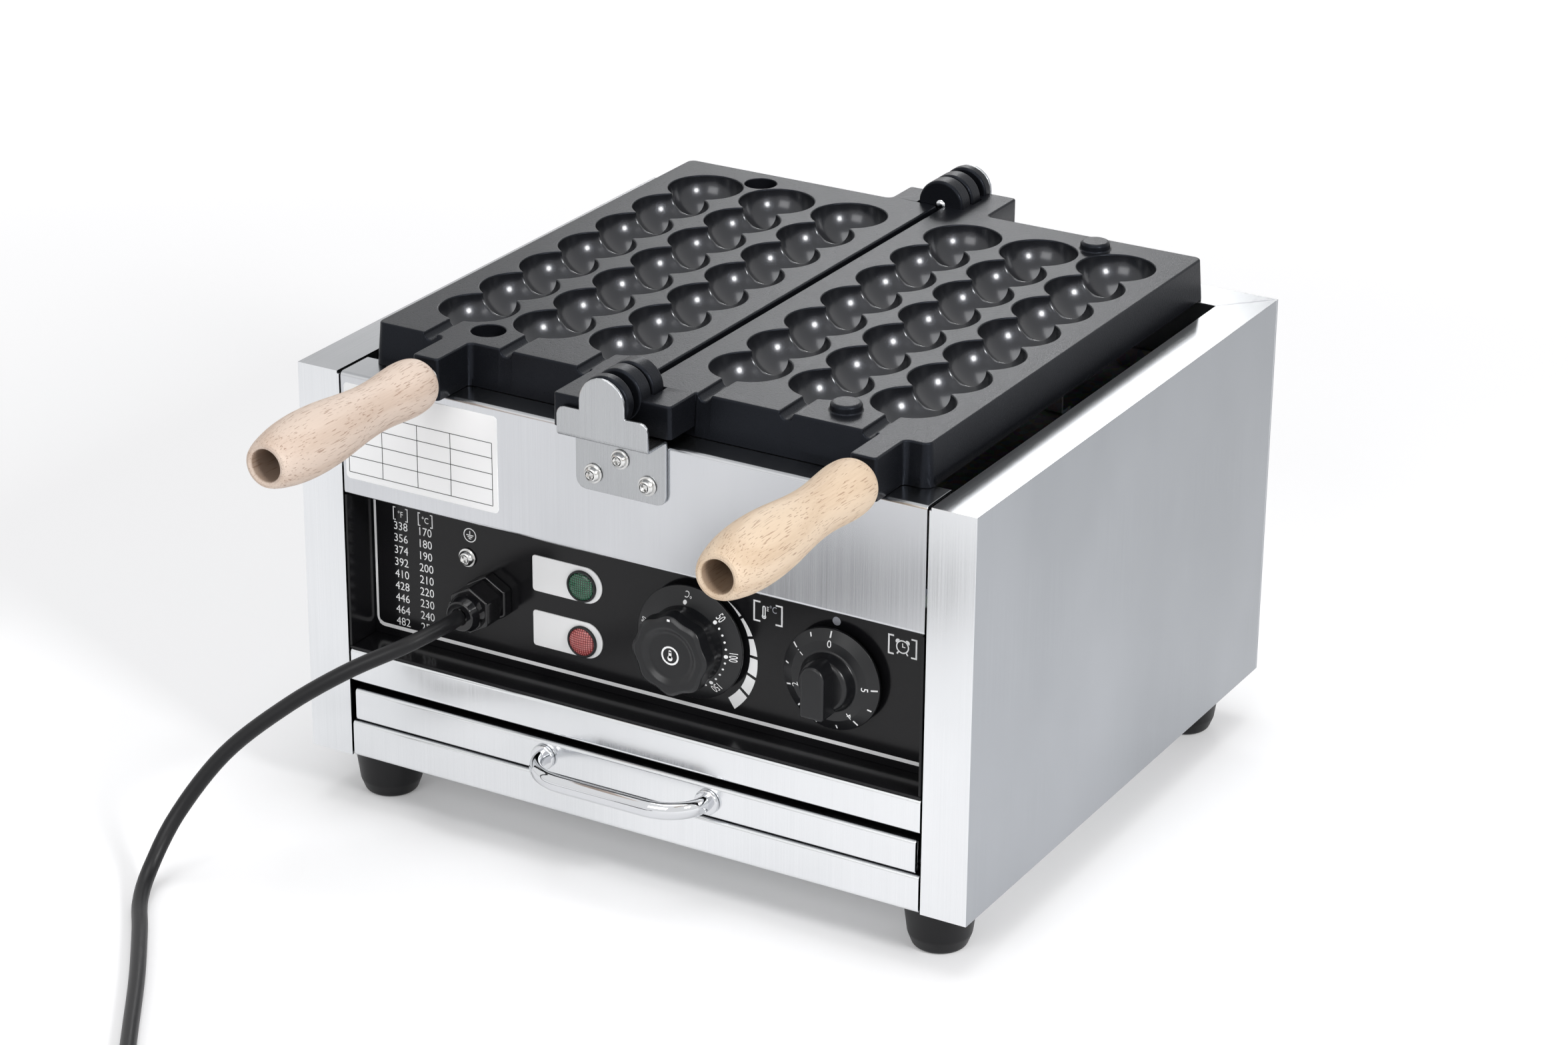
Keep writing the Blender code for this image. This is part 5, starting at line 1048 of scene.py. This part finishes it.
def thermometerMark(mark, at, size, width):
    # Bulb and stem of a thermometer, with three short ticks beside it
    s = thermometerShares
    bulb, half, top = (at[0], at[1] - size * s["drop"]), size * s["half"], size * s["top"]
    mark.strip(band(size * s["inner"], size * s["outer"], 25, 335, 18), bulb)
    mark.disc(bulb, size * s["bulb"], 12)
    for side in (-1, 1):
        mark.line([(side * half, -size * s["foot"]), (side * half, top)], width, at)
    mark.strip(band(half - width / 2, half + width / 2, -90, 90, 10), (at[0], at[1] + top))
    for k in range(3):
        level = panelPrint["tickFrom"] + k * panelPrint["tickPitch"]
        mark.line([(x, level) for x in panelPrint["tickEnds"]], panelPrint["tickLine"], at)


clockSizes = {
    "drop": 0.2, "ring": (2.7, 3.3), "hands": (1.4, 1.6), "handLine": 0.45,
    "bell": 1.25, "bellAt": (2.35, 2.15), "foot": ((2.0, -2.9), (2.8, -4.0)), "footLine": 0.7,
}


def clockMark(mark, at):
    # An alarm clock: a ring with two hands, two bells over it and two feet under it
    c = clockSizes
    drop, tip = c["drop"], c["hands"]
    mark.ring((at[0], at[1] - drop), *c["ring"], 36)
    mark.line([(0, tip[1]), (0, -drop), (tip[0], -drop)], c["handLine"], at)
    for side in (-1, 1):
        bell = (at[0] + side * c["bellAt"][0], at[1] + c["bellAt"][1])
        mark.strip(band(0.0, c["bell"], side * 45 - 90, side * 45 + 90, 12), bell)
        mark.line([(side * x, z) for x, z in c["foot"]], c["footLine"], at)


def onPanel(flat):
    return inFront(flat, panel["print"])


def makePanelPrint():
    p = panelPrint
    mark = Print(onPanel)
    left, low, bend = p["borderLeft"], p["borderBottom"], p["bend"]
    corner = [(left + bend - bend * math.cos(t), low + bend - bend * math.sin(t))
              for t in np.linspace(0, math.pi / 2, 9)]
    mark.line([(left, p["top"]), *corner[:5]], p["borderWidth"])
    mark.line([*corner[4:], (p["right"], low)], p["baseWidth"])
    for x, _, start, step in p["columns"]:
        for row in range(p["rows"]):
            mark.words(str(start + row * step), p["number"], (x, p["firstRow"] - row * p["rowPitch"]),
                       squeeze=0.92)
    for x, unit, _, _ in p["columns"]:
        mark.words(unit, p["unit"], (x, p["headZ"]), squeeze=0.85)
        brackets(mark, (x, p["headZ"]), *p["unitBrackets"])
    mark.ring(p["earth"], *p["earthRing"], 40)
    mark.line([(0, p["earthStem"]), (0, 0)], p["earthLine"], p["earth"])
    for z, half in p["earthBars"]:
        mark.line([(-half, z), (half, z)], p["earthLine"], p["earth"])
    for first, last in zip(p["arcTurns"], p["arcTurns"][1:]):
        turn = np.linspace(first if first == p["arcTurns"][0] else first + p["arcGap"], last, 24)
        inner, outer = (np.interp(turn, p["arcTurns"], p[edge]) for edge in ("arcInner", "arcOuter"))
        mark.strip(band(inner, outer, turn[0], turn[-1]), panel["temperature"])
    x, z = p["thermometer"]
    brackets(mark, (x, z), *p["thermometerBrackets"])
    thermometerMark(mark, (x + p["bulbShift"][0], z + p["bulbShift"][1]), p["bulbSize"], p["bulbLine"])
    brackets(mark, p["clock"], *p["clockBrackets"])
    clockMark(mark, p["clock"])
    mark.make("panel_print")
    pointer = Print(onPanel)
    pointer.disc(p["dot"], p["dotRadius"], 28)
    pointer.words("°C", p["degree"], (x + p["degreeShift"][0], z + p["degreeShift"][1]), squeeze=0.8)
    pointer.make("timer_pointer", material="grey_print")


makePanelPrint()

ratingPlate = {
    "left": -153.8, "right": -67.9, "low": 146.9, "high": 195.2, "corner": 2.2, "thick": 0.3, "line": 0.35,
    "columns": (-151.8, -132.7, -112.8, -94.1, -70.9), "rows": (150.4, 158.5, 166.3, 174.2, 181.7),
    "edge": 0.12, "lift": 0.04,
}


def makeRatingPlate():
    # A white plate with round corners on the front panel, and the empty lines of its table
    r = ratingPlate
    left, right, low, high, turn = (r[part] for part in ("left", "right", "low", "high", "corner"))
    stations = outline([(left, low, turn), (right, low, turn), (right, high, turn), (left, high, turn)], 8)
    path, normal = stations[:, :2], stations[:, 2:]
    rings = [inFront(path, 0.0), inFront(path, -r["thick"] * 0.5),
             inFront(path - normal * r["edge"], -r["thick"])]
    makePiece("rating_plate", Surface().block(rings), "housing", "ivory_plastic", material="white_print")
    table = Print(lambda flat: inFront(flat, -r["thick"] - r["lift"]))
    for x in r["columns"]:
        table.line([(x, r["rows"][0]), (x, r["rows"][-1])], r["line"])
    for z in r["rows"]:
        table.line([(r["columns"][0], z), (r["columns"][-1], z)], r["line"])
    table.make("rating_plate_lines", slotName="black_plastic", material="black_plastic")


makeRatingPlate()

lamps = {
    "x": -35.3,
    "at": {"power_lamp": (110.5, 111.3), "heat_lamp": (82.1, 83.1)},  # the lamp's z, its plate's z
    "plate": (-62.9, -24.3), "plateHalf": 9.1, "plateThick": 0.5, "plateSink": 0.05, "plateBend": 1.6,
    "bezel": ((0.5, 6.4), (0.5, 8.0, 0.2), (1.9, 7.9, 0.5), (1.9, 7.0, 0.3), (1.0, 6.6)),
    "stem": ((-19.5, 0), (-19.5, 5.9), (0.6, 5.9), (0.6, 6.9)), "dome": (1.2, 2.2, 6.9),
}


def roundPlate(middle):
    # A plate with a small bend at its left corners, a round right end and a rounded edge
    low, high = lamps["plate"]
    half, bend, thick = lamps["plateHalf"], lamps["plateBend"], lamps["plateThick"]
    turn = np.linspace(-math.pi / 2, math.pi / 2, 33)
    right = np.stack([high - half + half * np.cos(turn), middle + half * np.sin(turn)], 1)
    turn = np.linspace(math.pi / 2, math.pi, 7)
    top = np.stack([low + bend + bend * np.cos(turn), middle + half - bend + bend * np.sin(turn)], 1)
    path = np.vstack([right, top, top[::-1] * [1, -1] + [0, 2 * middle]])
    start = panel["face"] - lamps["plateSink"]
    return Surface().block([inFront(path + (path.mean(0) - path) * inset, start - thick * share)
                            for inset, share in ((0, 0), (0, 0.6), (0.006, 1))])


def makeSignalLamps():
    dome = np.linspace(0, math.pi / 2, 10)
    base, rise, radius = lamps["dome"]
    profile = np.vstack([lamps["stem"], np.stack([base + rise * np.sin(dome), radius * np.cos(dome)], 1)])
    for node, (z, middle) in lamps["at"].items():
        centre = (lamps["x"], panel["face"], z)
        makePiece(node + "_plate", roundPlate(middle), "housing", "ivory_plastic", material="white_print")
        bezel = Surface().turned(rounded(lamps["bezel"], closed=True), centre)
        makePiece(node + "_bezel", bezel, "housing", "black_plastic")
        lens = Surface().turned(profile, centre, steps=56)
        makePiece(node + "_lens", lens, "housing", slotOf[node], [node])


makeSignalLamps()

screws = {
    "shank": 2.0, "washer": 4.7, "washerThick": 0.8, "head": 3.8, "headTall": 2.4, "headWall": 0.9,
    "washerBack": 0.15, "washerFront": 0.3, "headBend": 0.6, "crownBend": 1.6,
    "crown": 2.7, "mouth": 2.35, "slot": 0.62, "reach": 2.1, "sink": 1.1, "footReach": 0.55, "footSlot": 0.7,
    "turns": {"front_bracket_screw_1": 0.35, "front_bracket_screw_2": 0.1, "front_bracket_screw_3": 0.7,
              "earth_screw": 0.5, "rear_bracket_screw_1": 0.2, "rear_bracket_screw_2": 0.9,
              "rear_bracket_screw_3": 0.5},
}


def crossPath(reach, half):
    # The plus-shaped recess of the head, as one closed path
    return [(half, half), (half, reach), (-half, reach), (-half, half), (-reach, half), (-reach, -half),
            (-half, -half), (-half, -reach), (half, -reach), (half, -half), (reach, -half), (reach, half)]


def makeScrew(node, turn):
    # Washer and pan head, with a recess whose walls run down from a cross-shaped path to a smaller one
    s = screws
    low, high = boxOf(node)
    front = (low[1] + high[1]) / 2 < (plates["front"] + plates["rear"]) / 2
    out, seat = (-1, high[1]) if front else (1, low[1])
    length = high[1] - low[1]
    flat = length - s["washerThick"] - s["headTall"]
    lid = flat + s["washerThick"]
    profile = rounded([(0, 0), (0, s["shank"]), (flat, s["shank"]), (flat, s["washer"], s["washerBack"]),
                       (lid, s["washer"], s["washerFront"]), (lid, s["head"]),
                       (lid + s["headWall"], s["head"], s["headBend"]), (length, s["crown"], s["crownBend"]),
                       (length, s["mouth"])], 5)
    x, z = ((low + high) / 2)[[0, 2]]
    sheet = turnedSheet(profile, (x, seat, z), (0, out, 0), (0, 0, 1), 48)
    top = seat + out * length
    mouth, foot = (inFront(clockwise(crossPath(reach, half), -turn), y, (x, z)) for reach, half, y in (
        (s["reach"], s["slot"], top),
        (s["reach"] * s["footReach"], s["slot"] * s["footSlot"], top - out * s["sink"])))
    shape = Surface().grid(sheet, roundColumns=True).cap([sheet[-1], mouth], (0, 2))
    shape.grid(np.stack([mouth, foot]), roundColumns=True).cap([foot], (0, 2))
    finished(node, shape, sharp=40)


for node, turn in screws["turns"].items():
    makeScrew(node, turn)
print("lamps and screws")

# Knobs. Their profiles go from the panel outwards.

def overKnob(knob, height):
    # Flat points set out from a knob's axis, each at the height that its distance from the axis gives
    def place(flat):
        distance = np.linalg.norm(np.asarray(flat, float), axis=-1)
        return inFront(flat, knob["back"] - height(distance), knob["at"])
    return place


# Temperature knob: a sloped skirt with its scale, and a lobed cap with a dished middle

temperature = {
    "at": panel["temperature"], "back": 16.0, "length": 20.5, "skirt": 28.1, "cap": 20.4, "neck": 19.2,
    "dish": 11.3, "dishDepth": 1.9, "lobes": 8, "lobeDepth": 1.5,
    "rim": 1.2, "rise": 4.2, "slopeEnd": 19.8, "edgeBend": 0.3, "rimBend": 0.5, "crest": 4.4,
    "core": 12, "seat": 3.6, "neckTop": 9.0, "neckBend": 6, "capFoot": 13.0, "capBend": 2.5,
    "shoulder": 1.2, "taper": 0.3, "shoulderBend": 1.0, "crown": 2.2, "crownBend": 1.2,
    "dishLip": 3.0, "dishBend": 3,
    "numbers": ((46, "50"), (94, "100"), (141.5, "150"), (188, "200"), (235, "250"), (282, "300")),
    "number": 5.6, "numberRadius": 24.2, "dotRadius": 20.9, "dotPace": 9.5, "unitRadius": 24.4,
    "dot": 0.95, "smallDot": 0.55, "startDot": 1.05, "startShift": -1.0, "unit": 4.3, "unitShift": 0.2,
    "markRing": (3.75, 4.65), "markBulb": 1.35, "markStem": (-1.3, 2.0), "markLine": 1.5,
    "pointer": (0.3, 17.9, 19.0), "scaleLift": 0.07, "markLift": 0.06,
}


def makeTemperatureKnob():
    t = temperature
    centre = (t["at"][0], t["back"], t["at"][1])
    rim, rise, skirt, slopeEnd, neck, cap, dish, face = (
        t[part] for part in ("rim", "rise", "skirt", "slopeEnd", "neck", "cap", "dish", "length"))
    floor = face - t["dishDepth"]

    def lobes(profile, turn):
        # Radius share 1 - depth * (1 - cos(lobes * turn)) / 2, fading out towards the dish and the neck
        along, radius = profile.T
        amount = np.clip((along - 6) / 6, 0, 1) * np.clip((radius - dish - 2) / 5, 0, 1)
        return 1 - amount[:, None] * t["lobeDepth"] / cap * (1 - np.cos(t["lobes"] * turn)) / 2

    base = rounded([(0, 0), (0, skirt, t["edgeBend"]), (rim, skirt, t["rimBend"]), (rise, slopeEnd),
                    (t["crest"], t["core"])])
    knob = Surface().turned(base, centre, steps=96)
    side = rounded([(t["seat"], t["core"]), (t["seat"], neck), (t["neckTop"], neck, t["neckBend"]),
                    (t["capFoot"], cap, t["capBend"]),
                    (face - t["shoulder"], cap - t["taper"], t["shoulderBend"]),
                    (face, cap - t["crown"], t["crownBend"]), (face, dish + t["dishLip"], t["dishBend"]),
                    (floor, dish, t["dishBend"]), (floor, 0)], 6)
    finished("temperature_knob", knob.turned(side, centre, steps=160, lobes=lobes))

    slope = (rise - rim) / (skirt - slopeEnd)
    scale = Print(overKnob(t, lambda away: np.clip(rim + (skirt - away) * slope, rim, rise) + t["scaleLift"]))
    for angle, text in t["numbers"]:
        turn = math.radians(angle)
        scale.words(text, t["number"], spoke(turn) * t["numberRadius"], turn, 0.62)
        scale.disc(spoke(turn) * t["dotRadius"], t["dot"], 16)
        if angle < t["numbers"][-1][0]:
            for step in range(1, 5):
                small = math.radians(angle + t["dotPace"] * step)
                scale.disc(spoke(small) * t["dotRadius"], t["smallDot"], 10)
    scale.disc((t["startShift"], t["dotRadius"]), t["startDot"], 16)
    scale.words("°C", t["unit"], (t["unitShift"], t["unitRadius"]), math.pi, 0.85)
    scale.make("temperature_scale", "temperature")
    mark = Print(overKnob(t, lambda away: np.where(away < dish, floor, face) + t["markLift"]))
    low, high = t["markStem"]
    mark.ring((0, 0), *t["markRing"], 48)
    mark.disc((0, -t["markBulb"]), t["markBulb"], 20)
    mark.line([(0, low), (0, high)], t["markLine"])
    mark.disc((0, high), t["markLine"] / 2, 14)
    mark.line([(t["pointer"][0], z) for z in t["pointer"][1:]], t["markLine"])
    mark.make("temperature_mark", "temperature")


makeTemperatureKnob()

# Timer knob: a flat dial with its ticks, a low hub and a bar to grip

timerKnob = {
    "at": panel["timer"], "back": 16.0, "skirt": 25.0, "hub": 14.3, "bar": 12.3, "barLength": 26.0,
    "barRounding": 1.5, "barFoot": 2.0, "length": 20.0, "rim": 1.2, "rise": 3.6, "slopeEnd": 19.5,
    "edgeBend": 0.3, "rimBend": 0.6, "hubFoot": 4.0, "hubBend": 1.5, "hubTop": 10.5, "crown": 12.2,
    "crownBend": 2.5, "cover": 11.0, "barCorner": 1.8, "endFlat": 0.1,
    "fall": 0.10, "pace": 54, "last": 5, "number": 5.0, "numberRadius": 18.4, "ticks": (21.2, 24.1),
    "halfTicks": (21.8, 23.7), "tick": 0.75, "scaleLift": 0.10,
}


def makeTimerKnob():
    t = timerKnob
    rim, rise, skirt, slopeEnd = t["rim"], t["rise"], t["skirt"], t["slopeEnd"]
    profile = rounded([(0, 0), (0, skirt, t["edgeBend"]), (rim, skirt, t["rimBend"]),
                       (rise, slopeEnd, t["rimBend"]), (t["hubFoot"], t["hub"], t["hubBend"]),
                       (t["hubTop"], t["crown"], t["crownBend"]), (t["cover"], 0)], 5)
    knob = Surface().turned(profile, (t["at"][0], t["back"], t["at"][1]), steps=96)
    half, tall, bend = t["bar"] / 2, t["barLength"] / 2, t["barRounding"]
    corner, end = t["barCorner"], half - t["endFlat"]
    stations = outline([(-half, -tall, corner), (half, -tall, corner),
                        (half, tall, end), (-half, tall, end)], 12)
    path, normal = stations[:, :2], stations[:, 2:]
    rings = [inFront(path, t["back"] - t["barFoot"], t["at"])]
    for step in np.linspace(0, math.pi / 2, 6):
        y = t["back"] - t["length"] + bend * (1 - math.sin(step))
        rings.append(inFront(path - normal * bend * (1 - math.cos(step)), y, t["at"]))
    finished("timer_knob", knob.block(rings))

    slope = (rise - rim) / (skirt - slopeEnd)
    dial = Print(overKnob(t, lambda away: t["scaleLift"] + np.where(
        away > slopeEnd, rim + (skirt - away) * slope, rise + (slopeEnd - away) * t["fall"])))
    for number in range(t["last"] + 1):
        for share, ends in ((0, t["ticks"]), (0.5, t["halfTicks"])):
            if number + share <= t["last"]:
                out = spoke(-math.radians(t["pace"] * (number + share)))
                dial.line([out * ends[0], out * ends[1]], t["tick"])
        turn = -math.radians(t["pace"] * number)
        dial.words(str(number), t["number"], spoke(turn) * t["numberRadius"], turn, 0.95)
    dial.make("timer_scale", "timer_dial")


makeTimerKnob()
print("knobs")

# Cable gland: a hexagonal foot, a hexagonal dome nut and a tapered mouth

gland = {
    "centre": (-86.0, 19.7, 93.5), "hexFrom": 9.6, "blunt": 0.985,
    "foot": ((0, 7), (0, 12.5, 0.4), (6, 12.5, 1.1), (6, 7)),
    "nut": ((8.6, 7), (8.6, 11.8, 0.8), (20, 11.8, 1.0), (20, 7)),
    "core": ((-12, 0), (-12, 7.5, 0.5), (3, 7.5), (3, 9.5), (20, 9.5), (24.0, 8.9, 1.5), (28, 7.2, 1.0),
             (28, 4.1, 0.4), (25, 3.9), (25, 0)),
}


def hexagon(profile, turn):
    # Radius share cos(30) / cos(angle from the flat's middle), blunted at the corners
    sixth = math.pi / 3
    side = np.minimum(math.cos(sixth / 2) / np.cos(turn % sixth - sixth / 2), gland["blunt"])
    return np.where(profile[:, 1:] > gland["hexFrom"], side, 1.0)


def makeGland():
    shape = Surface()
    for ring in ("foot", "nut"):
        shape.turned(rounded(gland[ring], closed=True), gland["centre"], steps=96, lobes=hexagon)
    finished("cable_gland", shape.turned(rounded(gland["core"], 5), gland["centre"], steps=72), "gloss_black")


makeGland()

# Drawer pull: a bow of flattened rod on two round feet

pull = {"half": 45.0, "straight": 23.0, "standoff": 20.5, "thick": 6.5, "tall": 8.5, "foot": 6.2,
        "footLength": 2.2, "footBack": 0.3, "footFront": 0.9, "sink": 1.0}


def makePull():
    # Along the bow, a flattened circle stands across the path in the level plane
    p = pull
    low, high = boxOf("drawer_pull")
    z, start = (low[2] + high[2]) / 2, high[1]
    footEnd = start - p["footLength"]
    rise, span = p["standoff"] - p["footLength"], p["half"] - p["straight"]
    turn = np.linspace(0, math.pi / 2, 22)
    bow = np.stack([p["straight"] + span * np.cos(turn), footEnd - rise * np.sin(turn)], 1)
    half = np.vstack([[(p["half"], start - p["sink"])], bow])
    middle = np.stack([np.linspace(p["straight"], -p["straight"], 12)[1:-1], np.full(10, footEnd - rise)], 1)
    path = np.vstack([half, middle, half[::-1] * [-1, 1]])
    run = np.gradient(path, axis=0)
    run /= np.linalg.norm(run, axis=1)[:, None]
    normal = np.stack([-run[:, 1], run[:, 0]], 1)
    around = np.linspace(0, math.tau, 28, endpoint=False)
    across, up = p["thick"] / 2 * np.cos(around), p["tall"] / 2 * np.sin(around)
    rod = np.stack([path[:, :1] + normal[:, :1] * across, path[:, 1:] + normal[:, 1:] * across,
                    z + np.broadcast_to(up, (len(path), len(around)))], -1)
    shape = Surface().block(rod)
    foot = rounded([(0, 0), (0, p["foot"], p["footBack"]), (p["footLength"], p["foot"], p["footFront"]),
                    (p["footLength"], 0)], 5)
    for side in (-1, 1):
        shape.turned(foot, (side * p["half"], start, z), steps=48)
    finished("drawer_pull", shape)


makePull()

pins = {"radius": 3.0, "dome": 2.2}


def makePin(node, front):
    # A hinge pin, with the domed end that shows between the knuckles
    low, high = boxOf(node)
    near, out = (low[1], 1) if front else (high[1], -1)
    long, radius = high[1] - low[1], pins["radius"]
    profile = rounded([(0, 0), (0, radius), (long, radius, pins["dome"]), (long, 0)], 7)
    finished(node, Surface().turned(profile, (0, near, plates["axis"]), (0, out, 0), steps=40))


makePin("front_hinge_pin", True)
makePin("rear_hinge_pin", False)
print("gland, pull and pins")

# Sheet metal: each piece is its CAD sheet with the edges rounded by these widths

edges = {
    "side_panel_left": 0.35, "side_panel_right": 0.35, "front_upper_panel": 0.3, "back_panel": 0.3,
    "lower_front_rail": 0.3, "upper_front_rail": 0.3, "drawer_face": 0.35, "drawer_tray": 0.3,
    "front_hinge_bracket": 0.4, "rear_hinge_bracket": 0.4, "control_panel": 0.15, "recess_ledge": 0.2,
    "recess_side_left": 0.15, "recess_side_right": 0.15, "base_plate": 0.25,
}
# The front upper panel takes the darker steel copy: painted shade
ownSteel = {"front_upper_panel": "shaded_panel_steel", "front_hinge_bracket": "bracket_steel",
            "rear_hinge_bracket": "bracket_steel"}
for node, width in edges.items():
    softened(node, width, ownSteel.get(node))

feet = {"top": 18.0, "shoulder": 15.2, "sole": 12.5, "shoulderHeight": 7.0,
        "topBend": 0.8, "shoulderBend": 6, "soleBend": 3.2}


def makeFoot(node):
    # A tapered rubber foot with a rounded sole
    low, high = boxOf(node)
    tall = high[2] - low[2]
    profile = rounded([(0, 0), (0, feet["top"], feet["topBend"]),
                       (feet["shoulderHeight"] - tall, feet["shoulder"], feet["shoulderBend"]),
                       (-tall, feet["sole"], feet["soleBend"]), (-tall, 0)], 6)
    x, y = ((low + high) / 2)[:2]
    finished(node, Surface().turned(profile, (x, y, high[2]), (0, 0, 1), (1, 0, 0)))


for end in ("front", "rear"):
    for side in ("left", "right"):
        makeFoot(f"foot_{end}_{side}")
print("sheet metal and feet")
